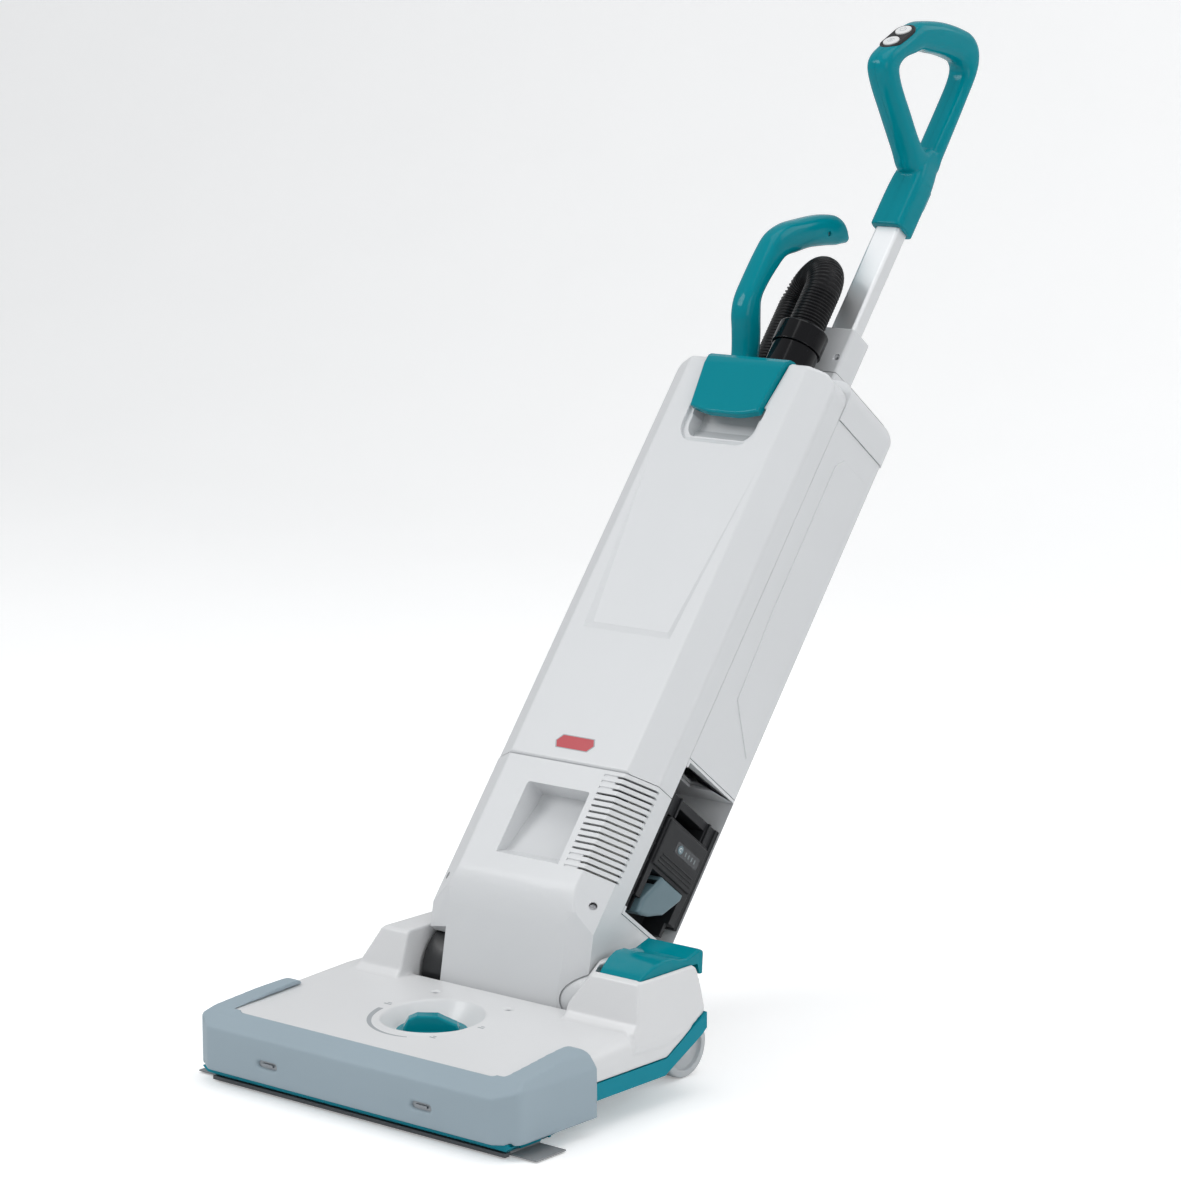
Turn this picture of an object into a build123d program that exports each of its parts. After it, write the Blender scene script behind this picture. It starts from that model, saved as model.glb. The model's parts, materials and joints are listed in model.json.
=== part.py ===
from build123d import *
import os
import math

# Cordless upright vacuum cleaner, millimetres.
# Origin on the floor, on the centre plane, straight below the recline pivot.
# +X is right seen from the front, -Y is forwards, +Z is up.
# The upright body is drawn in its own frame, with its origin on the recline pivot
# and z along the body, then leaned back by RECLINE. The floor head is drawn in place.

RECLINE = 38.0        # lean of the body from vertical, degrees
PIVOT_Z = 76.0        # recline pivot above the floor

# Upright body envelope
BODY_X = 102.4        # half width of the body
FRONT_X = 74.5        # half width of the flat front panel
FRONT_Y = -82.5       # front plane
BEVEL_Y = -62.7       # where the front bevel meets the side
SEAM_Y = -37.8        # seam between front covers and rear casings
REAR_Y = 57.0         # rear plane
YOKE_TOP = 75.0
BAY_TOP = 244.5       # top of the lower rear casing
DOOR_Z0, DOOR_Z1 = 200.0, 667.0
CAP_Z0, CAP_Z1 = 632.6, 677.0
WALL = 3.0
BODY_ROUND = 7.0      # rounding of the body's upright edges

FRONT_PLAN = [(-FRONT_X, FRONT_Y), (FRONT_X, FRONT_Y), (BODY_X, BEVEL_Y),
              (BODY_X, SEAM_Y), (-BODY_X, SEAM_Y), (-BODY_X, BEVEL_Y)]          # (x, y)
REAR_PLAN = [(-BODY_X, SEAM_Y + 0.5), (BODY_X, SEAM_Y + 0.5),
             (BODY_X, REAR_Y), (-BODY_X, REAR_Y)]                               # (x, y)

# Features shared by several parts of the body
LATCH_Y, LATCH_Z = -51.0, 661.0                       # latch pin
PORT_X, PORT_Y, PORT_R = -9.5, -11.5, 21.0            # hose port in the top cap
RISER_X, RISER_Y, RISER_R = -64.0, 25.0, 19.0         # riser pipe
FAN_X, FAN_Y = 22.0, 2.0                              # suction motor axis
TUBE_W, TUBE_D, TUBE_T, TUBE_Y = 31.0, 19.0, 1.8, 40.0   # handle tube section
TUBE_Z0, TUBE_Z1 = 641.0, 962.0
TONGUE_X, TONGUE_W = (-70, 48), 22                    # tongues under the bag door
CARRY_X = -60.0                                       # centre of the carrying handle


# ---------------------------------------------------------------- helpers
def box(x0, x1, y0, y1, z0, z1):
    return Pos((x0 + x1) / 2, (y0 + y1) / 2, (z0 + z1) / 2) * Box(x1 - x0, y1 - y0, z1 - z0)


def prism_x(outline, x0, x1):
    """(y, z) outline extruded along X."""
    face = make_face(Polyline([(x0, y, z) for y, z in outline], close=True))
    return extrude(face, amount=x1 - x0, dir=(1, 0, 0))


def prism_y(outline, y0, y1):
    """(x, z) outline extruded along Y."""
    face = make_face(Polyline([(x, y0, z) for x, z in outline], close=True))
    return extrude(face, amount=y1 - y0, dir=(0, 1, 0))


def prism_z(outline, z0, z1):
    """(x, y) outline extruded along Z."""
    face = make_face(Polyline([(x, y, z0) for x, y in outline], close=True))
    return extrude(face, amount=z1 - z0, dir=(0, 0, 1))


def cyl_x(y, z, radius, x0, x1):
    return Pos((x0 + x1) / 2, y, z) * Rot(0, 90, 0) * Cylinder(radius, x1 - x0)


def cyl_y(x, z, radius, y0, y1):
    return Pos(x, (y0 + y1) / 2, z) * Rot(90, 0, 0) * Cylinder(radius, y1 - y0)


def cyl_z(x, y, radius, z0, z1):
    return Pos(x, y, (z0 + z1) / 2) * Cylinder(radius, z1 - z0)


def cone_z(x, y, radius0, radius1, z0, z1):
    return Pos(x, y, (z0 + z1) / 2) * Cone(radius0, radius1, z1 - z0)


def ring_x(y, z, outer, inner, x0, x1):
    return cyl_x(y, z, outer, x0, x1) - cyl_x(y, z, inner, x0 - 1, x1 + 1)


def ring_z(x, y, outer, inner, z0, z1):
    return cyl_z(x, y, outer, z0, z1) - cyl_z(x, y, inner, z0 - 1, z1 + 1)


def round_bar_z(x, y, width, depth, radius, z0, z1):
    """Rounded rectangle in XY, extruded from z0 to z1."""
    return Pos(x, y, z0) * extrude(RectangleRounded(width, depth, radius), amount=z1 - z0)


def round_bar_y(x, z, width, height, radius, y0, y1):
    """Rounded rectangle in XZ, extruded from y0 to y1."""
    bar = extrude(RectangleRounded(width, height, radius), amount=y1 - y0)
    return Pos(x, y1, z) * Rot(90, 0, 0) * bar


def along_normal(origin, normal, depth, face, length):
    """Face extruded outwards along normal, from depth below origin."""
    return extrude(Plane(origin=origin - normal * depth, z_dir=normal) * face, amount=length)


def beyond(a, b, c, side, size, length, inset=0.0):
    """Block outside the plane through a, b, c, on the side where X has the sign of side."""
    normal = (b - a).cross(c - a).normalized()
    if normal.X * side < 0:
        normal = normal * -1
    return along_normal(a, normal, inset, Rectangle(size, size), length)


def left_right(shape):
    return [mirror(shape, about=Plane.YZ), shape]


def largest(shape):
    return max(shape.solids(), key=lambda solid: solid.volume)


def mid(edge):
    return edge.position_at(0.5)


def along(edge, axis):
    """True for a straight edge parallel to the axis."""
    if edge.geom_type != GeomType.LINE:
        return False
    return abs(abs(getattr(edge.tangent_at(0), axis)) - 1) < 1e-3


def round_edges(shape, chosen, radius):
    """Rounds the chosen edges; falls back to smaller radii, then leaves them sharp."""
    for size in (radius, radius * 0.6, radius * 0.3):
        # the kernel may refuse a radius that does not fit the neighbouring faces
        try:
            edges = ShapeList([edge for edge in shape.edges() if chosen(edge)])
            if not edges:
                return shape
            rounded = fillet(edges, size)
            if rounded.is_valid and rounded.volume > 0:
                return rounded
        except Exception:
            pass
    return shape


def lean(shape):
    """From the body's own frame to the floor frame."""
    return Pos(0, 0, PIVOT_Z) * Rot(-RECLINE, 0, 0) * shape


def gather(shape, upright):
    """One solid or a compound of solids, leaned back if it belongs to the upright body."""
    pieces = shape if isinstance(shape, list) else [shape]
    solids = [solid for piece in pieces for solid in piece.solids()]
    if upright:
        solids = [lean(solid) for solid in solids]
    return Compound(solids) if len(solids) > 1 else solids[0]


def front_hollow(front_wall, z0, z1):
    """Inside of the front covers."""
    return prism_z(
        [(-FRONT_X + 1.2, FRONT_Y + front_wall), (FRONT_X - 1.2, FRONT_Y + front_wall),
         (BODY_X - WALL, BEVEL_Y + 2.0), (BODY_X - WALL, SEAM_Y + 5),
         (-BODY_X + WALL, SEAM_Y + 5), (-BODY_X + WALL, BEVEL_Y + 2.0)], z0, z1)


def rear_block(z0, z1):
    """Solid rear casing with rounded rear corners."""
    block = prism_z(REAR_PLAN, z0, z1)
    return round_edges(block, lambda edge: along(edge, "Z") and mid(edge).Y > 30, BODY_ROUND)


def casing_opening():
    """Opening through the joint of the two rear casings."""
    return box(60, 92, -25, 30, 240, 252)


def riser_bore(z0, z1):
    return cyl_z(RISER_X, RISER_Y, RISER_R + 0.8, z0, z1)


def port_cyl(radius, z0, z1):
    return cyl_z(PORT_X, PORT_Y, radius, z0, z1)


def fan_cyl(radius, z0, z1):
    return cyl_z(FAN_X, FAN_Y, radius, z0, z1)


def tube_bar(width, depth, radius, z0, z1):
    return round_bar_z(0, TUBE_Y, width, depth, radius, z0, z1)


# ================================================================ UPRIGHT
# --------------------------------------------------------------- bag door
SHOULDER = 20.0                     # radius of the door's top corners
HINGE_Y, HINGE_Z = -78.9, 203.6     # tilt line along the lower front edge
# tapering panel in the front: depth, bottom, top, slope height, half widths
PANEL_D, PANEL_Z0, PANEL_Z1, PANEL_SLOPE = 2.6, 346.0, 552.0, 8.0
PANEL_X0, PANEL_X1 = 55.0, 70.0


def door_shoulder(radius, back):
    """Waste outside the rounded top right corner, reaching back behind the seam."""
    x, z = BODY_X - SHOULDER, DOOR_Z1 - SHOULDER
    corner = box(x, BODY_X + 2, FRONT_Y - 5, SEAM_Y + back, z, DOOR_Z1 + 5)
    return corner - cyl_y(x, z, radius, FRONT_Y - 6, SEAM_Y + back + 1)


def door_panel():
    """Shallow tapering panel sunk into the door's face."""
    foot = PANEL_Z0 + PANEL_SLOPE
    sunk = prism_x([(FRONT_Y - 1, PANEL_Z1), (FRONT_Y, PANEL_Z1), (FRONT_Y + PANEL_D, foot),
                    (FRONT_Y, PANEL_Z0), (FRONT_Y - 1, PANEL_Z0 - 3)], -90, 90)
    for side in (-1, 1):
        # sloping side wall: two points on the face, one at the foot of the floor
        sunk -= beyond(Vector(side * PANEL_X0, FRONT_Y, PANEL_Z0),
                       Vector(side * PANEL_X1, FRONT_Y, PANEL_Z1),
                       Vector(side * (PANEL_X0 - 7.0), FRONT_Y + PANEL_D, foot),
                       side, size=700, length=120)
    return sunk


def bag_door():
    door = prism_z(FRONT_PLAN, DOOR_Z0, DOOR_Z1)
    door = round_edges(door, lambda edge: along(edge, "Z") and mid(edge).Y < -50, BODY_ROUND)
    for cut in left_right(door_shoulder(SHOULDER + 0.12, 5)):
        door -= cut
    door = round_edges(
        door,
        lambda edge: abs(mid(edge).Z - DOOR_Z1) < 0.05
        and abs(mid(edge).Y - FRONT_Y) < 0.5 and along(edge, "X"),
        5.0)
    low = box(-BODY_X - 5, BODY_X + 5, FRONT_Y - 2, HINGE_Y, DOOR_Z0 - 1, HINGE_Z)
    door -= low - cyl_x(HINGE_Y, HINGE_Z, 3.6, -BODY_X - 6, BODY_X + 6)
    inner = front_hollow(3.6, DOOR_Z0 + 3.4, DOOR_Z1 - 3.4)
    for cut in left_right(door_shoulder(SHOULDER - 3, 8)):
        inner -= cut
    door -= inner
    # boss that carries the latch pocket
    door += prism_x([(FRONT_Y + 2, 563), (-42.5, 600), (-42.5, 666.5), (FRONT_Y + 2, 666.5)],
                    -58, 58)
    latch_cut = prism_x([(FRONT_Y - 4, 598), (-60, 602), (-60, 638), (-45, 646), (-45, 680),
                         (FRONT_Y - 4, 680)], -52.5, 52.5)
    latch_cut &= prism_y(
        [(-43.0, 580), (43.0, 580), (43.0, 598), (51.8, 660), (52.5, 668), (52.5, 690),
         (-52.5, 690), (-52.5, 668), (-51.8, 660), (-43.0, 598)], FRONT_Y - 8, -40)
    # finger pocket below the latch
    pocket = prism_x([(FRONT_Y - 4, 572), (-70, 577), (-62, 590), (-60, 606),
                      (FRONT_Y - 4, 606)], -43, 43)
    pocket &= round_bar_y(0, 604, 84, 64, 18, FRONT_Y - 8, -50)
    door -= latch_cut
    door -= pocket
    # shallow step round the pocket
    step = prism_x([(FRONT_Y - 1, 566.0), (FRONT_Y - 0.01, 566.5), (FRONT_Y + 4.2, 573),
                    (FRONT_Y + 4.2, 612), (FRONT_Y - 1, 612)], -52, 52)
    step &= round_bar_y(0, 604, 96, 76, 22, FRONT_Y - 8, -50)
    door -= step
    door -= door_panel()
    # locating tongues under the lower edge
    for x in TONGUE_X:
        door += box(x, x + TONGUE_W, -63.5, -61.5, 194.5, 203.6)
    door -= cyl_x(LATCH_Y, LATCH_Z, 1.55, -57, 57)
    return door


def door_latch():
    side = [(-89.0, 599), (-89.5, 655), (-87.5, 664), (-82.5, 669.6), (-76, 671.5),
            (LATCH_Y - 1, 671.5), (LATCH_Y - 1, 667.2), (-76, 667.2), (-80.0, 660),
            (-80.0, 599)]
    latch = prism_x(side, -50.5, 50.5)
    latch &= prism_y([(-41.5, 590), (41.5, 590), (50.5, 664), (50.5, 680), (-50.5, 680),
                      (-50.5, 664)], -95, -30)
    # hollow arc along the lower edge
    latch -= (prism_y([(-60, 590), (60, 590), (60, 612), (-60, 612)], -95, -70)
              - cyl_y(0, 737.0, 139.0, -96, -69))
    latch = round_edges(
        latch,
        lambda edge: mid(edge).Y < -87.0 and not (along(edge, "X") and mid(edge).Z > 650),
        2.6)
    # pin barrels, catch and pin
    for x0, x1 in ((-51.0, -14.0), (14.0, 51.0)):
        latch += (cyl_x(LATCH_Y, LATCH_Z, 4.4, x0, x1)
                  + box(x0, x1, LATCH_Y - 4.4, LATCH_Y, LATCH_Z, 671))
    latch += prism_x([(-55.0, 660), (-51.8, 664), (-47.0, 652), (-49.5, 646), (-52.5, 652)],
                     20, 44)
    latch += cyl_x(LATCH_Y, LATCH_Z, 1.5, -55.5, 55.5)
    return latch


# ----------------------------------------------------- upper rear casing
UPPER_Z0, UPPER_Z1 = 245.2, 632.0
REAR_HOLLOW = [(-BODY_X + WALL, SEAM_Y - 5), (BODY_X - WALL, SEAM_Y - 5),
               (BODY_X - WALL, REAR_Y - 8), (BODY_X - 8, REAR_Y - WALL),
               (-BODY_X + 8, REAR_Y - WALL), (-BODY_X + WALL, REAR_Y - 8)]   # (x, y)


def rear_casing():
    casing = rear_block(UPPER_Z0, UPPER_Z1)
    # foot lip at the lower rear edge
    lip = prism_x([(REAR_Y - 3, UPPER_Z0), (REAR_Y + 5.0, UPPER_Z0 + 4),
                   (REAR_Y + 8, UPPER_Z0 + 14), (REAR_Y + 6.5, UPPER_Z0 + 24),
                   (REAR_Y - 3, UPPER_Z0 + 40)], -94, 94)
    casing += round_edges(
        lip, lambda edge: abs(abs(mid(edge).X) - 94) < 0.1 and mid(edge).Y > REAR_Y, 4.0)
    # raised side panels
    panel = prism_x([(-14, 592), (-13, 431), (-7.5, 326), (42, 286), (42, 604), (-5, 604)],
                    BODY_X - 2, BODY_X + 1.1)
    panel = round_edges(panel, lambda edge: mid(edge).X > BODY_X + 1.0, 0.9)
    casing += panel
    casing += mirror(panel, about=Plane.YZ)
    casing -= prism_z(REAR_HOLLOW, UPPER_Z0 + WALL, UPPER_Z1 + 5)
    # shelf above the motor
    cavity = prism_z(REAR_HOLLOW, UPPER_Z0, UPPER_Z1)
    casing += cavity & box(-120, 120, SEAM_Y + 0.5, 60, 336, 339)
    casing -= riser_bore(200, 400)
    casing -= fan_cyl(26, 330, 345)
    casing -= casing_opening()
    # ribs on the rear wall, behind the bag
    for z in (420, 500, 580):
        casing += cavity & box(-20, 90, 44.0, REAR_Y - 1, z, z + 2.4)
    return casing


# ---------------------------------------------------------------- top cap
CAP_X = BODY_X + 1.2      # the cap stands proud of the casing all round
CAP_REAR = REAR_Y + 1.2


def cap_hollow():
    hollow = prism_z(
        [(-BODY_X + WALL, SEAM_Y + 3.0), (BODY_X - WALL, SEAM_Y + 3.0),
         (BODY_X - WALL, REAR_Y - 12), (BODY_X - 12, REAR_Y - 3),
         (-BODY_X + 12, REAR_Y - 3), (-BODY_X + WALL, REAR_Y - 12)], CAP_Z0 - 1, CAP_Z1 - 3.2)
    hollow = round_edges(
        hollow,
        lambda edge: along(edge, "X") and mid(edge).Y > 45 and mid(edge).Z > CAP_Z1 - 4,
        17.0)
    return round_edges(
        hollow,
        lambda edge: along(edge, "Y") and abs(mid(edge).X) > 95 and mid(edge).Z > CAP_Z1 - 4,
        12.0)


def top_cap():
    cap = prism_z([(-CAP_X, SEAM_Y + 0.5), (CAP_X, SEAM_Y + 0.5), (CAP_X, CAP_REAR),
                   (-CAP_X, CAP_REAR)], CAP_Z0, CAP_Z1)
    cap = round_edges(cap, lambda edge: along(edge, "Z") and mid(edge).Y > 30, 8.0)
    cap = round_edges(
        cap,
        lambda edge: along(edge, "X") and mid(edge).Y > 45 and mid(edge).Z > CAP_Z1 - 1,
        20.0)
    cap = round_edges(
        cap,
        lambda edge: along(edge, "Y") and abs(abs(mid(edge).X) - CAP_X) < 0.1
        and mid(edge).Z > CAP_Z1 - 1,
        14.0)
    cap -= cap_hollow()
    # socket for the handle tube
    cap += tube_bar(46, 33, 4, CAP_Z0 + 4, 720)
    cap -= tube_bar(TUBE_W + 0.5, TUBE_D + 0.5, 4.2, TUBE_Z0 - 0.6, 725)
    # hose port and riser port
    cap += ring_z(PORT_X, PORT_Y, 24.4, PORT_R, CAP_Z1 - 22, CAP_Z1 + 4)
    cap -= port_cyl(PORT_R, CAP_Z0 - 5, CAP_Z1 + 6)
    cap += ring_z(RISER_X, RISER_Y, 23.0, RISER_R + 0.8, CAP_Z1 - 10, CAP_Z1 + 5)
    cap -= riser_bore(CAP_Z0 - 5, CAP_Z1 + 8)
    # foot for the carrying handle, with both ports opened again through it
    cap += round_bar_z(CARRY_X, -21.0, 30, 31, 5, CAP_Z1 - 8, CAP_Z1 + 3)
    cap -= port_cyl(PORT_R, CAP_Z0 - 5, CAP_Z1 + 6)
    cap -= riser_bore(CAP_Z0 - 5, CAP_Z1 + 8)
    cap -= port_cyl(27.2, CAP_Z1 + 4.01, CAP_Z1 + 20)
    for x in (-14, 14):
        cap -= cyl_y(x, 706, 1.6, 20, 34)
    return cap


# ------------------------------------------------------- tube and its collar
def tube_collar():
    collar = tube_bar(46, 34, 4, 720.6, 774)
    collar = round_edges(collar, lambda edge: abs(mid(edge).Z - 774) < 0.01, 2.2)
    collar += round_bar_z(0, TUBE_Y + 17.5, 26, 5, 2.2, 726, 768)
    collar -= tube_bar(TUBE_W + 0.4, TUBE_D + 0.4, 4.1, 715, 780)
    # countersunk hole in the front
    collar -= cyl_y(15, 738, 2.1, 20, 33)
    collar -= cyl_y(15, 738, 4.2, 22, 25)
    return collar


def handle_tube():
    tube = tube_bar(TUBE_W, TUBE_D, 4.0, TUBE_Z0, TUBE_Z1)
    tube -= tube_bar(TUBE_W - 2 * TUBE_T, TUBE_D - 2 * TUBE_T, 2.6, TUBE_Z0 - 1, TUBE_Z1 + 1)
    return tube


def handle_cable():
    section = Plane(origin=(0, TUBE_Y, 650), z_dir=(0, 0, 1)) * Circle(2.6)
    return sweep(section, path=Line((0, TUBE_Y, 650), (0, TUBE_Y, 980)))


# ------------------------------------------------------------ handle grip
GRIP_X = 15.0                                 # half thickness of the grip
GRIP_SCREWS = [(46.5, 1064.0), (-30, 1018), (10, 1128)]      # (y, z)
FACET_N = Vector(0, -54, 27).normalized()     # out of the button facet
FACET_C = Vector(0, -79.5, 1071)              # centre of the button facet
BUTTON_STEP = 12.0                            # button centre from the facet centre

# Loop outlines, (y, z)
GRIP_OUTER = [
    (22.5, 905), (22.5, 968), (-78, 1011), (-92, 1020), (-96, 1031), (-93, 1044), (-66, 1098),
    (-53, 1110), (-25, 1128), (8, 1144), (22, 1147), (35, 1143.5), (45, 1134), (50.5, 1118),
    (56, 1020), (56.5, 972), (63, 966), (63, 950), (56.5, 942), (55, 905)]
GRIP_HOLE = [
    (33, 1001), (30, 996), (18, 997), (-58, 1030), (-65, 1036), (-67, 1046), (-62, 1056),
    (-50, 1072), (-40, 1080), (-8, 1098), (20, 1109), (30, 1109), (35, 1102), (37, 1080),
    (37, 1010)]
CAVITY_OUTER = [
    (30, 985), (20, 990), (-80, 1024), (-86, 1032), (-84, 1042), (-60, 1092), (-48, 1104),
    (-20, 1122), (10, 1138), (24, 1141), (34, 1138), (40, 1130), (44, 1116), (48, 1020),
    (46, 963), (34, 963)]
CAVITY_INNER = [
    (37, 996), (32, 986), (17, 988), (-62, 1022), (-74, 1032), (-76, 1048), (-70, 1062),
    (-57, 1080), (-45, 1090), (-12, 1108), (20, 1119), (34, 1117), (42, 1106), (44, 1080),
    (43, 1010)]


def on_facet(face, depth0, depth1):
    """Extrudes a flat sketch between two heights above the button facet."""
    plane = Plane(origin=FACET_C + FACET_N * depth0, x_dir=(1, 0, 0), z_dir=FACET_N)
    return extrude(plane * face, amount=depth1 - depth0)


def button_disc(side, radius, depth0, depth1):
    return on_facet(Pos(0, BUTTON_STEP * side) * Circle(radius), depth0, depth1)


def is_grip_rim(edge):
    return abs(abs(mid(edge).X) - GRIP_X) < 0.01


def handle_shells():
    """Left and right halves of the grip."""
    grip = prism_x(GRIP_OUTER, -GRIP_X, GRIP_X)
    grip = round_edges(grip, is_grip_rim, 8.5)
    grip -= prism_x(GRIP_HOLE, -30, 30)
    grip = round_edges(grip, is_grip_rim, 6.5)
    neck = round_bar_z(0, TUBE_Y - 1, 40, 32, 7, 905, 985)
    grip += round_edges(neck, lambda edge: mid(edge).Z > 984, 6.0)
    bulge = round_bar_z(0, 57, 26, 14, 5, 942, 973)
    grip += round_edges(bulge, lambda edge: not along(edge, "Z"), 4.0)
    grip -= tube_bar(TUBE_W + 0.4, TUBE_D + 0.4, 4.1, 900, 964)
    grip -= prism_x(CAVITY_OUTER, -9.5, 9.5) - prism_x(CAVITY_INNER, -12, 12)
    # pockets for the button plate and the buttons
    grip -= on_facet(RectangleRounded(24.4, 50.4, 11.7), -5.0, 6.0)
    for side in (-1, 1):
        grip -= button_disc(side, 9.3, -7.4, -4.9)
    left = grip & box(-60, -0.05, -200, 200, 850, 1300)
    right = grip & box(0.05, 60, -200, 200, 850, 1300)
    for y, z in GRIP_SCREWS:
        right -= cyl_x(y, z, 1.7, -1, 20)
        left -= cyl_x(y, z, 1.2, -12, 1)
        right -= cyl_x(y, z, 3.4, 11.0, 20)
    return left, right


def button_plate():
    plate = on_facet(RectangleRounded(24.0, 50.0, 11.5), -4.6, 0.6)
    for side in (-1, 1):
        plate -= button_disc(side, 9.2, -6, 2)
    return plate


def button(side):
    """Round button; side is 1 for the upper one, -1 for the lower one."""
    return round_edges(
        button_disc(side, 8.9, -4.4, 2.0),
        lambda edge: edge.geom_type == GeomType.CIRCLE
        and (edge.position_at(0) - FACET_C).dot(FACET_N) > 1.5,
        1.2)


# ------------------------------------------------------- carrying handle
CARRY_HALF = 13.5                       # half thickness
CARRY_SCREW_Y, CARRY_SCREW_Z = 5, 876
CARRY_SIDE = [                          # (y, z)
    (-30, 680.2), (-35.5, 698), (-63.4, 733), (-68, 749), (-68, 822), (-53, 849), (-38, 865),
    (-12, 888), (2, 898), (18, 905), (27, 903.5), (33, 897), (37, 888), (31, 879), (2, 858.5),
    (-8, 848.5), (-38, 816), (-45, 786), (-46, 764), (-40, 754), (-10, 713), (-6, 700),
    (-6.5, 680.2)]


def carry_handle():
    handle = prism_x(CARRY_SIDE, CARRY_X - CARRY_HALF, CARRY_X + CARRY_HALF)
    handle = round_edges(
        handle,
        lambda edge: abs(abs(mid(edge).X - CARRY_X) - CARRY_HALF) < 0.01
        and mid(edge).Z > 681,
        7.0)
    handle -= cyl_x(CARRY_SCREW_Y, CARRY_SCREW_Z, 2.6, CARRY_X + 9.0, CARRY_X + 20)
    handle -= cyl_x(CARRY_SCREW_Y, CARRY_SCREW_Z, 1.3, CARRY_X - 6.0, CARRY_X + 10)
    return handle


def handle_screws():
    """Slotted screws of the grip and of the carrying handle."""
    screws = [
        cyl_x(y, z, 3.2, 11.2, 13.4) + cyl_x(y, z, 1.6, 2.0, 11.4)
        - box(12.6, 14, y - 0.5, y + 0.5, z - 2.2, z + 2.2)
        for y, z in GRIP_SCREWS]
    y, z = CARRY_SCREW_Y, CARRY_SCREW_Z
    screws.append(
        cyl_x(y, z, 2.4, CARRY_X + 9.2, CARRY_X + 11.0)
        + cyl_x(y, z, 1.25, CARRY_X - 5.5, CARRY_X + 9.4)
        - box(CARRY_X + 10.4, CARRY_X + 12, y - 0.4, y + 0.4, z - 1.6, z + 1.6))
    return screws


# ------------------------------------------------------------------- hose
HOSE_Z0, HOSE_BEND_Z = 715.0, 792.0
HOSE_R, HOSE_WALL = 19.5, 2.6


def hose_cuff():
    cuff = port_cyl(25.0, CAP_Z1 + 4.4, 721.6)
    cuff += port_cyl(26.4, CAP_Z1 + 4.4, CAP_Z1 + 10)
    cuff += port_cyl(20.8, CAP_Z1 - 18, CAP_Z1 + 5)
    cuff -= port_cyl(17.2, CAP_Z1 - 20, 715)
    cuff -= port_cyl(20.3, 714, 725)
    return cuff


def cuff_ring():
    ring = round_edges(
        port_cyl(27.0, 722.0, 747),
        lambda edge: edge.geom_type == GeomType.CIRCLE and mid(edge).Z > 746,
        3.0)
    return ring - port_cyl(20.6, 720, 770)


def hose():
    """Up from the cuff, half a turn over, down into the riser port."""
    inner = HOSE_R - HOSE_WALL
    span_x, span_y = PORT_X - RISER_X, PORT_Y - RISER_Y
    pipe = ring_z(PORT_X, PORT_Y, HOSE_R, inner, HOSE_Z0, HOSE_BEND_Z)
    pipe += ring_z(RISER_X, RISER_Y, HOSE_R, inner, CAP_Z1 + 7.0, HOSE_BEND_Z)
    section = Plane.XY * Pos(math.hypot(span_x, span_y) / 2, 0) * (Circle(HOSE_R) - Circle(inner))
    bend = revolve(section, axis=Axis.Y, revolution_arc=-180)
    middle = Pos((PORT_X + RISER_X) / 2, (PORT_Y + RISER_Y) / 2, HOSE_BEND_Z)
    pipe += middle * Rot(0, 0, math.degrees(math.atan2(span_y, span_x))) * bend
    return pipe


# ------------------------------------------------------ lower rear casing
LOWER_Z0 = YOKE_TOP + 0.4


def lower_casing():
    casing = rear_block(LOWER_Z0, BAY_TOP)
    casing -= prism_z([(-BODY_X + WALL, SEAM_Y - 5), (-13.5, SEAM_Y - 5),
                       (-13.5, REAR_Y - WALL), (-BODY_X + 8, REAR_Y - WALL),
                       (-BODY_X + WALL, REAR_Y - 8)], LOWER_Z0 + 3, BAY_TOP - 3)
    # battery bay, open to the right-hand side
    casing -= box(-10.0, BODY_X + 10, -34.0, REAR_Y - 2.6, 79.0, 241.5)
    casing -= box(85, BODY_X + 10, -50.0, -33.0, 84.0, 236.0)
    casing -= riser_bore(60, 260)
    casing -= casing_opening()
    return casing


# ---------------------------------------------------------------- battery
PACK_X0, PACK_X1, PACK_Y0, PACK_Y1 = 2.0, 104.0, -28.0, 46.0
DOCK_X0, DOCK_Y0, DOCK_Y1, DOCK_Z0, DOCK_Z1 = -9.6, -33.6, REAR_Y - 3.0, 79.4, 209.0
TERMINALS, TERMINAL_Y, TERMINAL_PITCH = 5, -20, 12.5


def battery_dock():
    dock = box(DOCK_X0, 0.5, DOCK_Y0, DOCK_Y1, 80.0, DOCK_Z1)         # terminal wall
    dock += box(DOCK_X0, 44.0, DOCK_Y0, DOCK_Y1, DOCK_Z0, 84.0)       # floor rail
    dock += box(DOCK_X0, 99.0, DOCK_Y0, -30.0, DOCK_Z0, DOCK_Z1)      # side rails
    dock += box(DOCK_X0, 99.0, 48.6, DOCK_Y1, 100.0, DOCK_Z1)
    dock += box(DOCK_X0, 97.0, DOCK_Y0, DOCK_Y1, 188.0, DOCK_Z1)      # upper guard
    dock -= box(20, 99, -18, 34, 186, 200)
    for y in (-20.0, 35.0):
        dock += box(97.0, 100.0, y, y + 2.5, 188, DOCK_Z1)
    for z in (100, 118, 136, 154, 172):
        dock += box(10, 99.0, -30.0, -28.6, z, z + 2.0)
    return dock


def battery_terminals():
    """Backing plate and blades."""
    blades = []
    for i in range(TERMINALS):
        y = TERMINAL_Y + i * TERMINAL_PITCH
        blades.append(box(0.6, 14, y, y + 1.4, 87.0, 97.5) & box(1.9, 20, -100, 100, 0, 300))
    return [box(0.5, 1.9, -26, 44, 85.5, 99.5)] + blades


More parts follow.
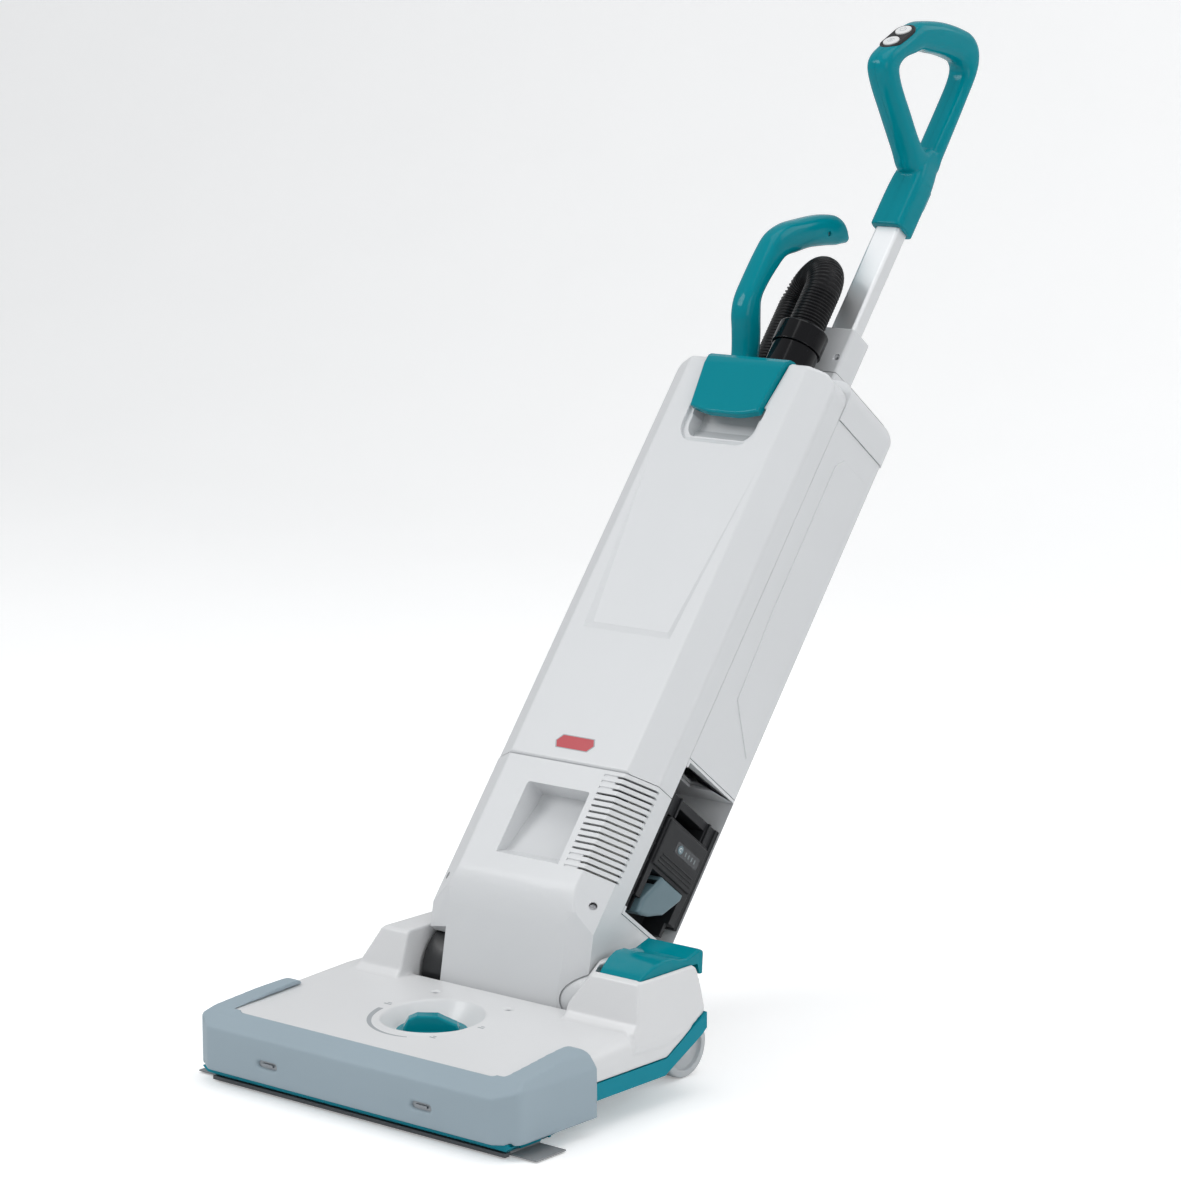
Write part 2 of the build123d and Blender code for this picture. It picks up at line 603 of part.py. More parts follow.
def battery_pack():
    pack = box(PACK_X0, PACK_X1 - 3, PACK_Y0, PACK_Y1, 99.8, 186.6)
    pack += box(PACK_X0, PACK_X1 - 8, PACK_Y0 + 6, PACK_Y1 - 6, 85.6, 100.2)
    pack = round_edges(pack, lambda edge: along(edge, "X") and mid(edge).Z > 186, 5.0)
    pack += box(PACK_X1 - 4, PACK_X1, PACK_Y0 + 2, PACK_Y1 - 2, 136.0, 184.0)
    pack = round_edges(pack, lambda edge: abs(mid(edge).X - PACK_X1) < 0.01, 1.6)
    for i in range(TERMINALS):
        y = TERMINAL_Y + i * TERMINAL_PITCH
        pack -= box(1.0, 16, y - 0.8, y + 2.2, 84.0, 99.0)
    # recess for the release button
    pack -= box(70, 110, -20.5, 35.5, 84.0, 132.2)
    return pack


def battery_release():
    release = prism_x([(-19.8, 86.0), (-19.8, 100), (-5.0, 131.0), (34.6, 131.0), (34.8, 124),
                       (19, 101), (0, 90.0), (-12, 86.0)], 84.0, 105.5)
    release = round_edges(release, lambda edge: abs(mid(edge).X - 105.5) < 0.01, 4.0)
    return release - box(83, 101.5, -10, 12, 102.0, 126.0)


# ------------------------------------------------------ lower front cover
# A straight part with the front bevels, then a skirt that turns back to the pivot barrel
TURN_Z = 80.0                   # where the front starts to turn in
BEND_Z = 62.6                   # level the cover's hollow is set from
SKIRT_TOP, SKIRT_FOOT = (-81.4, 56.0), (-42.0, -19.0)    # line of the straight part, (y, z)
SKIRT_START = 0.285             # fraction of that line where the arc ends
LOUVRES, LOUVRE_Z0, LOUVRE_PITCH, LOUVRE_HALF = 16, 95.6, 6.55, 1.15


def skirt():
    (top_y, top_z), (foot_y, foot_z) = SKIRT_TOP, SKIRT_FOOT
    arc_end = (top_y + (foot_y - top_y) * SKIRT_START, top_z + (foot_z - top_z) * SKIRT_START)
    profile = [(FRONT_Y, TURN_Z + 2), (FRONT_Y, TURN_Z), arc_end, SKIRT_FOOT, (-33.5, -35.5),
               (-28.0, -38.5), (-28.0, 20), (SEAM_Y, 30), (SEAM_Y, TURN_Z + 2)]
    points = [Vector(-BODY_X, y, z) for y, z in profile]
    edges = [Line(start, end) for start, end in zip(points, points[1:] + points[:1])]
    # the front turns in over a long arc
    edges[1] = Bezier(points[1], Vector(-BODY_X, FRONT_Y, 59.0), points[2])
    body = extrude(Face(Wire(edges)), amount=2 * BODY_X, dir=(1, 0, 0))
    body = body & (box(-BODY_X, BODY_X, -100, SEAM_Y, -60, TURN_Z + 2)
                   + box(-BODY_X, BODY_X, -60, -10, -60, 10))
    # closed cheek at the right-hand end of the barrel
    body += cyl_x(0, 0, 51.5, FRONT_X, BODY_X) & box(FRONT_X, BODY_X, -60, -14, -60, 20)
    # side bevels run straight down, then a facet turns each corner in
    facet = beyond(Vector(FRONT_X, FRONT_Y + 2.0, 54.0), Vector(FRONT_X, -38.5, -27.0),
                   Vector(BODY_X, -56.0, 26.0), 1, size=420, length=150)
    slope = (BEVEL_Y - FRONT_Y) / (BODY_X - FRONT_X)
    bevel = prism_z([(FRONT_X, FRONT_Y), (FRONT_X, FRONT_Y - 30), (BODY_X + 30, FRONT_Y - 30),
                     (BODY_X + 30, BEVEL_Y + 30 * slope)], -70, TURN_Z + 2)
    for side in (0, 1):
        for cutter in (facet, bevel):
            body -= left_right(cutter)[side]
    return body - cyl_x(0, 0, 46.0, -BODY_X - 5, BODY_X + 5)


def is_bevel_front(edge):
    """Front edge of a side bevel, along the straight part and round the turn."""
    point = mid(edge)
    slope = (BEVEL_Y - FRONT_Y) / (BODY_X - FRONT_X)
    offset = abs((point.Y - FRONT_Y) - (abs(point.X) - FRONT_X) * slope)
    return (point.Y < -66 and offset < 0.35 and point.Z > 45
            and FRONT_X - 0.5 < abs(point.X) < 84)


def cover_screw_seats():
    """(centre, outward normal) of the screws on the two lower bevels, left then right."""
    x, z = 93.0, 65.5
    y = FRONT_Y + (x - FRONT_X) * (BEVEL_Y - FRONT_Y) / (BODY_X - FRONT_X)
    return [(Vector(side * x, y, z),
             Vector(side * (BEVEL_Y - FRONT_Y), -(BODY_X - FRONT_X), 0).normalized())
            for side in (-1, 1)]


def lower_cover():
    cover = prism_z(FRONT_PLAN, 80.0, 199.2)
    cover += skirt()
    cover = round_edges(cover, is_bevel_front, BODY_ROUND)
    cover -= front_hollow(WALL, BEND_Z + 4, 196.2)
    cover -= prism_x([(-76.0, BEND_Z + 6), (-74.2, 52), (-52, 8.0), (SEAM_Y + 5, 28.0),
                      (SEAM_Y + 5, BEND_Z + 6)], -72, 72)
    # the left-hand corner is cut short, where the duct elbow shows
    cover -= box(-BODY_X - 2, -FRONT_X - 0.4, -100, 0, -55, 17.0)
    # finger scoop and the wall round it
    cover += prism_x([(FRONT_Y + 1.5, 178.0), (-52.6, 178.0), (-52.6, 160), (-64, 93.0),
                      (FRONT_Y + 1.5, 92.0)], -41.0, 47.0)
    scoop = prism_x([(FRONT_Y - 2, 173.5), (-55.5, 173.5), (-55.5, 160.0), (-70, 104.0),
                     (FRONT_Y - 2, 94.0)], -36.5, 42.5)
    cover -= round_edges(scoop, lambda edge: along(edge, "Y"), 3.0)
    # louvres round the right-hand bevel: front corner, bevel, then flat front
    for i in range(LOUVRES):
        z = LOUVRE_Z0 + i * LOUVRE_PITCH
        z0, z1 = z - LOUVRE_HALF, z + LOUVRE_HALF
        cover -= box(66, 78.0, FRONT_Y - 1, FRONT_Y + 14, z0, z1) & prism_z(
            [(66, FRONT_Y - 1), (78, FRONT_Y - 1), (78, FRONT_Y + 9), (66, FRONT_Y + 4.0)],
            0, 300)
        cover -= prism_z([(74.0, FRONT_Y - 4), (107, FRONT_Y - 4), (107, -58.5), (98.6, -58.5),
                          (97.0, BEVEL_Y + 2.6), (74.0, FRONT_Y + 7.0)], z0, z1)
        # the three slots at each end are only grooves on the flat front
        depth = 5 if 3 <= i <= LOUVRES - 4 else 0.9
        cover -= box(50, 67.0, FRONT_Y - 1, FRONT_Y + depth, z0, z1)
    # slots for the door's tongues in the upper wall
    for x in TONGUE_X:
        cover -= box(x - 1, x + TONGUE_W + 1, -64.5, -55.0, 190, 205)
    for centre, normal in cover_screw_seats():
        cover -= along_normal(centre, normal, 9.0, Circle(4.2), 14)
        cover -= along_normal(centre, normal, 16.0, Circle(1.9), 12)
    return largest(cover)


def cover_screws():
    """Cross-headed screws in the lower bevels."""
    screws = []
    for centre, normal in cover_screw_seats():
        screw = along_normal(centre, normal, 8.8, Circle(3.6), 2.4)
        screw -= along_normal(centre, normal, 7.2, Rectangle(4.6, 1.0), 2.4)
        screw -= along_normal(centre, normal, 7.2, Rectangle(1.0, 4.6), 2.4)
        screw += along_normal(centre, normal, 15.5, Circle(1.7), 7.0)
        screws.append(screw)
    return screws


# ------------------------------------------------------- yoke and barrel
BARREL_R, BARREL_X = 44.5, 101.5
HOLLOW_X0, HOLLOW_X1 = -72.0, 97.5


def yoke_hollow():
    """Space shared by the yoke and the barrel."""
    return prism_x([(SEAM_Y + 4.5, 62), (40, 62), (40, 30), (30, -10), (-20, -20),
                    (SEAM_Y + 4.5, 0)], HOLLOW_X0, HOLLOW_X1)


def yoke():
    body = prism_x([(SEAM_Y + 0.5, YOKE_TOP), (48, YOKE_TOP), (48, 58), (46.0, 0.0),
                    (42.0, -14.0), (SEAM_Y + 0.5, -14.0)], -BARREL_X, BARREL_X)
    body -= prism_x([(SEAM_Y - 0.2, YOKE_TOP + 5), (SEAM_Y - 0.2, 27.5), (SEAM_Y - 20, 27.5),
                     (SEAM_Y - 20, YOKE_TOP + 5)], -110, 110)
    body -= yoke_hollow()
    body -= box(HOLLOW_X0, HOLLOW_X1, SEAM_Y + 4.5, 40, 60, YOKE_TOP + 3)
    body -= cyl_x(0, 0, BARREL_R + 0.1, -110, 110)
    body -= riser_bore(0, 90)
    return largest(body)


def pivot_barrel():
    barrel = cyl_x(0, 0, BARREL_R, -BARREL_X, BARREL_X)
    barrel -= yoke_hollow()
    # left end: bore for the duct elbow; right end: bore for the pivot pin
    barrel -= cyl_x(0, 0, 30.0, -112, -70.0)
    barrel -= riser_bore(0, 90)
    barrel -= cyl_x(0, 0, 11.05, 95, 112)
    return largest(barrel)


def duct_elbow():
    """From the pivot axis up to the riser."""
    elbow = cyl_x(0, 0, 29.6, -100.5, -71.4)
    elbow += cyl_z(RISER_X, RISER_Y, 19.4, 4.0, 38.8)
    elbow += box(-74, -62, -12, 16, 4.0, 24.0)
    elbow -= cyl_x(0, 0, 24.28, -102, -76.0)
    elbow -= cyl_z(RISER_X, RISER_Y, 16.6, 7.0, 40.0)
    elbow -= box(-78, -60, -9, 13, 7.0, 21.0)
    return elbow


# -------------------------------------------------- inside the upright body
BLADES = 9
PLEATS = 34
PLEAT_X = 90.6                     # half width of the pleated sheet
BAG_Y0, BAG_Z0, BAG_Z1 = -70, 352, 627
PCB_BACK, PCB_FACE = -20.4, -22.0  # x of the board's two faces


def suction_motor():
    motor = fan_cyl(39, 262, 318)
    motor += fan_cyl(31, 252, 263)
    motor -= fan_cyl(34.5, 292, 316)     # impeller chamber
    motor -= fan_cyl(12, 315, 320)       # inlet
    motor -= fan_cyl(4.2, 255, 293)      # shaft bore
    motor -= fan_cyl(26.0, 250.0, 253.0)
    return motor


def fan_impeller():
    impeller = fan_cyl(31.5, 294, 296.5) + fan_cyl(9, 296, 311)
    for i in range(BLADES):
        blade = Pos(19.5, 0, 303) * Rot(0, 0, 28) * Box(22, 1.8, 14)
        impeller += Pos(FAN_X, FAN_Y, 0) * Rot(0, 0, i * 360 / BLADES) * blade
    impeller += fan_cyl(4.0, 257, 295)
    return impeller & fan_cyl(32.5, 250, 312)


def motor_mounts():
    return [ring_z(FAN_X, FAN_Y, 44, 39.3, 322, 335),
            ring_z(FAN_X, FAN_Y, 44, 31.4, 248.6, 258)]


def filter_frame():
    return box(-96, 96, -51, -40.5, 84, 190) - box(-91, 91, -52, -40, 89, 185)


def filter_pleats():
    """Zigzag sheet: front line there, rear line back."""
    xs = [-PLEAT_X + 2 * PLEAT_X * i / PLEATS for i in range(PLEATS + 1)]
    front = [(x, -50.2 if i % 2 else -43.4) for i, x in enumerate(xs)]
    rear = [(x, -48.4 if i % 2 else -41.6) for i, x in enumerate(xs)]
    return prism_z(front + rear[::-1], 89.3, 184.7)


def dust_bag():
    bag = prism_x([(BAG_Y0, BAG_Z0), (40, BAG_Z0), (40, BAG_Z1), (-39.5, BAG_Z1),
                   (-39.5, 590), (BAG_Y0, 535)], -26, 92)
    bag = round_edges(
        bag, lambda edge: abs(mid(edge).Y - BAG_Y0) < 0.1 and along(edge, "Z"), 22.0)
    return round_edges(
        bag,
        lambda edge: abs(mid(edge).Z - BAG_Z1) < 0.1 or abs(mid(edge).Z - BAG_Z0) < 0.1,
        9.0)


def bag_card():
    return box(-30, 62, -34.0, 22.0, 644.5, 647.5) - port_cyl(21.2, 640, 650)


def control_board():
    """Board beside the battery bay, with block components."""
    board = box(PCB_FACE, PCB_BACK, -30, 44, 92, 225)
    # component: centre y, bottom z, width, height, depth
    for y, z, width, height, depth in (
            (-20, 110, 18, 18, 12), (8, 112, 14, 26, 9), (28, 110, 10, 40, 7),
            (-16, 160, 30, 22, 10), (20, 180, 22, 16, 8)):
        board += box(-21.8 - depth, PCB_FACE + 0.2, y - width / 2, y + width / 2, z, z + height)
    return board & box(-31.0, -15, -33, 46, 80, 240)


def door_seal():
    frame = (box(-96.5, 96.5, SEAM_Y - 1.6, SEAM_Y + 0.2, 342, 629)
             - box(-93, 93, -50, 0, 345.5, 625.5))
    return frame & box(-200, 200, -100, SEAM_Y + 0.2, 0, 1000)


# =================================================================== HEAD
HEAD_X = 202.5                  # half width over the bumper
SIDE_X = 197.0                  # half width of the cover behind the bumper
BUMP_Y0, BUMP_Y1 = -261.4, -138.5
BRUSH_Y, BRUSH_Z = -218.0, 25.0
CORE_R, BRUSH_R = 16.0, 23.5
WHEEL_R, WHEEL_Y, WHEEL_X0, WHEEL_X1 = 31.0, 44.6, 136.0, 159.0
AXLE_R = 4.0
DIAL_Y = -141.0
CRADLE_X = 106.0                # half width of the cradle for the pivot barrel
PEDAL_X0, PEDAL_X1, PEDAL_Y0, PEDAL_Y1 = 117.0, 181.8, -53.6, 22.0
PEDAL_PIN_Y, PEDAL_PIN_Z = -46.0, 112.0
HEAD_SCREWS = [(-47.0, -84.0), (47.0, -84.0)]     # (x, y)
CLIP_X, CLIP_Z = (-101.0, 95.0), 33.5             # bumper slots and their clips


def side_steps(x, z0, z1):
    """Waste outside x on both sides, as far back as the bumper reaches."""
    return [box(-250, -x, -300, -137.9, z0, z1), box(x, 250, -300, -137.9, z0, z1)]


# ------------------------------------------------------------- head cover
POD_TOP = 121.5
# outlines of the waste beside each pod's outer side, (x, z), drawn on the right
RIGHT_LEAN = [(210, 60), (197.0, 66), (184.0, 125), (210, 130)]
RIGHT_LEAN_IN = [(210, 60), (193.6, 66), (180.6, 125), (210, 130)]
LEFT_LEAN = [(210, 50), (176.0, 57), (139.5, 122), (210, 130)]
LEFT_LEAN_IN = [(210, 50), (171.5, 57), (135.5, 122), (210, 130)]


def slant(depth):
    """Waste beyond the slanted inner front corner of the right pod, moved in by depth."""
    return beyond(Vector(131.0, -58.0, 124.0), Vector(104.0, -12.0, 124.0),
                  Vector(104.0, -74.0, 82.0), -1, size=260, length=90, inset=depth)


def pod(outer_x, outer_lean, top_x, front_x):
    """Raised pod on the right; edges outside top_x and front_x are rounded."""
    body = prism_x([(-80, 60), (-76, 77.3), (-70, 84), (-59, 119.0), (-55, POD_TOP),
                    (22, POD_TOP), (27, 117), (29.5, 100), (29.5, 78), (22, 73.2),
                    (-31, 58)], 106.0, outer_x)
    body -= prism_y(outer_lean, -120, 60)
    body = round_edges(
        body, lambda edge: abs(mid(edge).Z - POD_TOP) < 0.6 and mid(edge).X > top_x, 6.0)
    return round_edges(
        body,
        lambda edge: mid(edge).X > front_x and mid(edge).Y < -54 and mid(edge).Z > 80,
        6.0)


def pod_hollow(outer_lean):
    hollow = prism_x([(-66, 60), (-57, 112), (-53, 118), (20, 118), (25, 112), (26, 70),
                      (-31, 50)], 109.5, 186.5)
    return hollow - prism_y(outer_lean, -120, 60)


def head_cover():
    deck = prism_x([(-246, 45.0), (-31, 45.0), (22, 73.2), (29.0, 77.0), (-60, 77.5),
                    (-232, 68.8), (-246, 62.5)], -SIDE_X, SIDE_X)
    deck = round_edges(
        deck,
        lambda edge: abs(abs(mid(edge).X) - SIDE_X) < 0.01 and mid(edge).Z > 61
        and mid(edge).Y < 10,
        17.0)
    for cut in side_steps(193.0, 0, 200):
        deck -= cut
    right_pod = pod(198.0, RIGHT_LEAN, 180, 178) - slant(0.0)
    left_pod = mirror(pod(172.0, LEFT_LEAN, 130, 138), about=Plane.YZ)
    cover = deck + right_pod + left_pod
    cover -= box(-CRADLE_X, CRADLE_X, -53.5, 60, 0, 200)
    # hollow under the deck, then under each pod
    cover -= prism_x([(-243, 40), (-243, 60.5), (-230, 65.6), (-60, 74.0), (-56.5, 74.0),
                      (-56.5, 40)], -190, 190)
    cover -= box(109.5, 190, -58, 26, 40, 72)
    cover -= box(-190, -109.5, -58, 26, 40, 66)
    cover -= mirror(pod_hollow(LEFT_LEAN_IN), about=Plane.YZ)
    cover -= pod_hollow(RIGHT_LEAN_IN) - slant(2.8)
    cover -= box(-190, 190, -244, -56.5, 40, 50)
    # right-hand well for the foot pedal, its floor and its pin hole
    cover -= box(PEDAL_X0, PEDAL_X1, PEDAL_Y0, PEDAL_Y1 + 12, 104.0, 130) - slant(2.2)
    cover += (box(PEDAL_X0 - 9, PEDAL_X1 + 1, PEDAL_Y0 - 3, PEDAL_Y1 + 4, 101.0, 104.0)
              - slant(0.6))
    cover -= cyl_x(PEDAL_PIN_Y, PEDAL_PIN_Z, 2.06, PEDAL_X1 - 1.0, PEDAL_X1 + 2.2)
    # dial dish
    cover += cone_z(0, DIAL_Y, 38, 53.0, 55.5, 72.6)
    cover -= cone_z(0, DIAL_Y, 36.0, 52.5, 58.0, 76.2)
    cover -= cyl_z(0, DIAL_Y, 8.66, 50, 60)
    # two screw wells behind the dial
    for x, y in HEAD_SCREWS:
        cover -= cyl_z(x, y, 3.4, 72, 80)
        cover += cyl_z(x, y, 5.4, 60.0, 74.0)
        cover -= cyl_z(x, y, 3.4, 72.6, 80)
        cover -= cyl_z(x, y, 1.8, 50, 80)
    # seats for the pivot pin and the floor duct
    cover -= cyl_x(0, PIVOT_Z, 11.02, 104, 112)
    cover -= cyl_x(0, PIVOT_Z, 24.6, -112, -104)
    return largest(cover & box(-198, 198, -247, 30, 44.9, 140))


def head_screws():
    return [cyl_z(x, y, 3.2, 72.7, 74.9) + cyl_z(x, y, 1.7, 52, 72.9)
            - box(x - 2.4, x + 2.4, y - 0.5, y + 0.5, 73.9, 76) for x, y in HEAD_SCREWS]


# ---------------------------------------------------------------- chassis
CHASSIS_OUTER = [               # (y, z)
    (-246, 16.0), (-246, 44.4), (-31.3, 44.4), (22.2, 72.7), (28.8, 76.2), (28.8, 61),
    (21.5, 55.5), (-34, 28.3), (-138, 28.3), (-150, 25.0), (-186, 6.5), (-192, 5.0),
    (-245, 5.0), (-252, 9.0), (-252, 15.5)]
CHASSIS_INNER = [               # (y, z)
    (-243, 19), (-243, 50), (-31.3, 50), (25.8, 80), (25.8, 61.5), (20.5, 58.5), (-35, 31.4),
    (-139, 31.4), (-152, 28.0), (-186, 10), (-190, 8), (-243, 8)]


def chassis():
    base = prism_x(CHASSIS_OUTER, -SIDE_X, SIDE_X)
    for cut in side_steps(193.0, 14.0, 200) + side_steps(196.0, 0, 14.1):
        base -= cut
    base -= prism_x(CHASSIS_INNER, -189.8, 189.8)
    # lower side edges slope in
    for side in (-1, 1):
        base -= prism_y([(side * 183, 4.0), (side * 198, 4.0), (side * 198, 14.2),
                         (side * 196.5, 14.2)], -300, -100)
    # wall behind the brush, open for the belt
    base += box(-189.9, 189.9, -192.5, -190.0, 7.0, 44.0) - box(173, 186, -194, -189, 6.0, 45.0)
    # bearing blocks at both ends of the brush; the bore is blind on the right
    for x0, x1, bore_end in ((-186.0, -176.4, -175.4), (185.3, 190.0, 189.6)):
        base += (box(x0, x1, -232, -204, 7.0, 38.0)
                 - cyl_x(BRUSH_Y, BRUSH_Z, 11.02, x0 - 1, bore_end))
    # mouth
    base -= box(-178.0, 178.0, -239.0, -197.0, 0, 10)
    # cradle clearance for the barrel, open towards the rear
    base -= cyl_x(0, PIVOT_Z, 52.6, -CRADLE_X, CRADLE_X) & box(
        -CRADLE_X, CRADLE_X, -100, 100, 0, 100)
    base -= box(-CRADLE_X, CRADLE_X, -54.5, 40, 44, 100)
    # axle blocks
    inner_block = prism_x([(-20, 24), (-20, 35), (28, 60), (40, 50), (57, 40), (57, 24)],
                          -132.0, -108.0)
    outer_block = prism_x([(10, 40), (10, 52), (24, 60), (40, 46), (53, 40), (53, 24),
                           (34, 22)], -132.4, -124.5)
    for block in (inner_block, outer_block):
        base += block
        base += mirror(block, about=Plane.YZ)
    # wheel wells and axle bore
    for x0, x1 in ((-WHEEL_X1, -WHEEL_X0), (WHEEL_X0, WHEEL_X1)):
        base -= cyl_x(WHEEL_Y, WHEEL_R, WHEEL_R + 3.5, x0 - 3.5, x1 + 3.5)
    base -= cyl_x(WHEEL_Y, WHEEL_R, AXLE_R + 0.05, -175, 175)
    # clearance for the height carriage, its roof and guide holes
    base -= box(-78, 78, -176, -124, 0, 31.0)
    base += box(-82, 82, -180, -120, 31.0, 34.0)
    base -= cyl_z(0, DIAL_Y, 8.0, 20, 40)
    for x in (-66, 66):
        base -= cyl_z(x, DIAL_Y, 3.1, 20, 40)
    return largest(base & box(-198, 198, -253, 58, 4.9, 90))


# ----------------------------------------------------------------- bumper
def bumper(cover):
    corner_x, corner_y = 22.5, 15.0
    band = prism_z(
        [(-HEAD_X, BUMP_Y1), (-HEAD_X, BUMP_Y0 + corner_y), (-HEAD_X + corner_x, BUMP_Y0),
         (HEAD_X - corner_x, BUMP_Y0), (HEAD_X, BUMP_Y0 + corner_y), (HEAD_X, BUMP_Y1)],
        14.6, 90)
    # waste above the bumper's top line
    band -= prism_x(
        [(-300, 58), (BUMP_Y0, 58), (-233.5, 70.2), (-205, 73.4), (-172, 77.5), (-150, 79.5),
         (-142, 78.0), (BUMP_Y1, 73.5), (-100, 70), (-100, 120), (-300, 120)], -260, 260)
    # the sides fall away towards the outside at the top
    fall = prism_y([(184, 90), (185, 80), (193, 75), (HEAD_X + 0.5, 62), (HEAD_X + 5, 61),
                    (HEAD_X + 5, 100), (184, 100)], -300, -100)
    for cut in left_right(fall):
        band -= cut
    band = round_edges(band, lambda edge: along(edge, "Z") and mid(edge).Y < -200, 9.0)
    # clearance for the deck and the chassis
    clear_x = SIDE_X + 0.5
    deck = prism_x([(-246.6, 40.0), (-246.6, 63.2), (-232.2, 69.4), (-100, 76.2), (-100, 40)],
                   -clear_x, clear_x)
    deck = round_edges(
        deck, lambda edge: abs(abs(mid(edge).X) - clear_x) < 0.01 and mid(edge).Z > 62, 17.0)
    band -= deck & box(-193.4, 193.4, -300, 0, 0, 200)
    band -= box(-193.4, 193.4, -246.4, -100, 0, 50)
    band -= box(-196.6, 196.6, -252.6, -100, 0, 16.4)
    # inner edge of the lip on the deck
    band -= prism_z([(-171, -240), (171, -240), (171, -100), (-171, -100)], 60, 100) & box(
        -171, 171, -231.0, -100, 60, 100)
    band -= prism_z([(-158, -234.6), (158, -234.6), (171, -224), (171, -130), (-171, -130),
                     (-171, -224)], 60, 100)
    for x in CLIP_X:
        band -= round_bar_y(x, CLIP_Z, 26.0, 7.2, 3.4, BUMP_Y0 - 3, BUMP_Y0 + 5.5)
    band -= cover
    return largest(band)


def bumper_clips():
    return [round_bar_y(x, CLIP_Z, 25.4, 6.6, 3.2, BUMP_Y0 + 3.2, BUMP_Y0 + 5.2)
            + box(x - 7, x + 7, BUMP_Y0 + 1.4, BUMP_Y0 + 3.4, 32.6, 35.0) for x in CLIP_X]


# ----------------------------------------------------- strips at the mouth
def edge_strips():
    strips = []
    for side, foot_x0, foot_x1 in ((-1, -184, -179), (1, 179, 184)):
        strip = prism_z([(side * 179.0, -239), (side * 215.0, -239), (side * 215.0, -198),
                         (side * 179.0, -198)], 1.0, 2.6)
        strips.append(strip + box(foot_x0, foot_x1, -239, -198, 2.5, 4.8))
    return strips


def mouth_strips():
    return [box(-186, 186, -248.5, -242.5, 1.2, 4.8), box(-176, 176, -195.5, -192.5, 1.0, 4.8)]


# -------------------------------------------------------- brush and drive
DRIVE_Y, DRIVE_Z = -112.0, 51.0           # brush motor axis
PULLEY_X0, PULLEY_X1 = 174.6, 183.8
TUFTS, TUFT_PITCH, TUFT_TWIST = 22, 15.2, 16.4   # per row, spacing, degrees per tuft


def brush_roller():
    roller = cyl_x(BRUSH_Y, BRUSH_Z, CORE_R, -172, 166)
    roller += cyl_x(BRUSH_Y, BRUSH_Z, 4.0, -184.6, 189.2)
    roller += cyl_x(BRUSH_Y, BRUSH_Z, 13.0, PULLEY_X0, PULLEY_X1)
    return roller


def brush_tufts():
    """Two twisted rows of tufts, half a turn apart."""
    tufts = []
    for row in range(2):
        for i in range(TUFTS):
            tuft = Pos(0, 0, (CORE_R + BRUSH_R) / 2 + 0.2) * Box(
                11.5, 4.0, BRUSH_R - CORE_R - 0.4)
            tuft = Rot(row * 180 + i * TUFT_TWIST, 0, 0) * tuft
            tufts.append(Pos(-160 + i * TUFT_PITCH, BRUSH_Y, BRUSH_Z) * tuft)
    return tufts


def brush_bearings():
    return [ring_x(BRUSH_Y, BRUSH_Z, 11.0, 4.05, x0, x1)
            for x0, x1 in ((-185.0, -177.0), (185.4, 189.4))]


def brush_motor():
    motor = cyl_x(DRIVE_Y, DRIVE_Z, 17.0, 68, 160)
    motor += cyl_x(DRIVE_Y, DRIVE_Z, 12.0, 159, 164) + cyl_x(DRIVE_Y, DRIVE_Z, 8.0, 62, 69)
    motor += (box(86, 92, DRIVE_Y - 14, DRIVE_Y + 14, 31.5, 46)
              + box(142, 148, DRIVE_Y - 14, DRIVE_Y + 14, 31.5, 46))
    motor -= cyl_x(DRIVE_Y, DRIVE_Z, 3.06, 120, 170)
    return motor


def motor_pulley():
    return (cyl_x(DRIVE_Y, DRIVE_Z, 7.2, PULLEY_X0, PULLEY_X1)
            + cyl_x(DRIVE_Y, DRIVE_Z, 3.0, 122, 174.8))


def belt_outline(extra):
    """(y, z) loop round the motor and brush pulleys, extra outside the belt's inner face."""
    motor_r, brush_r = 7.5 + extra, 13.3 + extra
    span_y, span_z = BRUSH_Y - DRIVE_Y, BRUSH_Z - DRIVE_Z
    angle = math.atan2(span_z, span_y)
    wrap = math.acos((motor_r - brush_r) / math.hypot(span_y, span_z))
    points = []
    for i in range(25):
        turn = angle + wrap + (2 * math.pi - 2 * wrap) * i / 24
        points.append((DRIVE_Y + motor_r * math.cos(turn), DRIVE_Z + motor_r * math.sin(turn)))
    for i in range(25):
        turn = angle - wrap + 2 * wrap * i / 24
        points.append((BRUSH_Y + brush_r * math.cos(turn), BRUSH_Z + brush_r * math.sin(turn)))
    return points


def drive_belt():
    x0, x1, thickness = 175.2, 183.2, 1.8
    return (prism_x(belt_outline(thickness), x0, x1)
            - prism_x(belt_outline(0.0), x0 - 1, x1 + 1))


# ------------------------------------------------------ duct in the head
def floor_duct():
    """Flat channel from the brush to the left end of the pivot barrel."""
    duct = prism_z([(-54, -189.0), (14, -189.0), (-40, -92), (-108, -58), (-122, -58),
                    (-122, -96), (-66, -114)], 34.8, 43.6)
    duct += prism_x([(-92, 34.8), (-36, 34.8), (10, 57.0), (10, 62), (-92, 62)],
                    -122.0, -109.8)
    duct += cyl_x(0, PIVOT_Z, 24.2, -122, -99.0)
    duct -= cyl_x(0, PIVOT_Z, 21.0, -119.5, -90)
    duct -= prism_x([(-89.5, 37.2), (-37, 37.2), (7.6, 58.6), (7.6, 60), (-89.5, 60)],
                    -119.6, -112.0)
    duct -= prism_z([(-51, -192.0), (11, -192.0), (-42, -93), (-110, -62), (-119, -62),
                     (-119, -93), (-63, -111)], 37.2, 41.2)
    return largest(duct)


def pivot_pin():
    return cyl_x(0, PIVOT_Z, 11.0, 97.6, 116.0) - cyl_x(0, PIVOT_Z, 5.0, 96, 118)


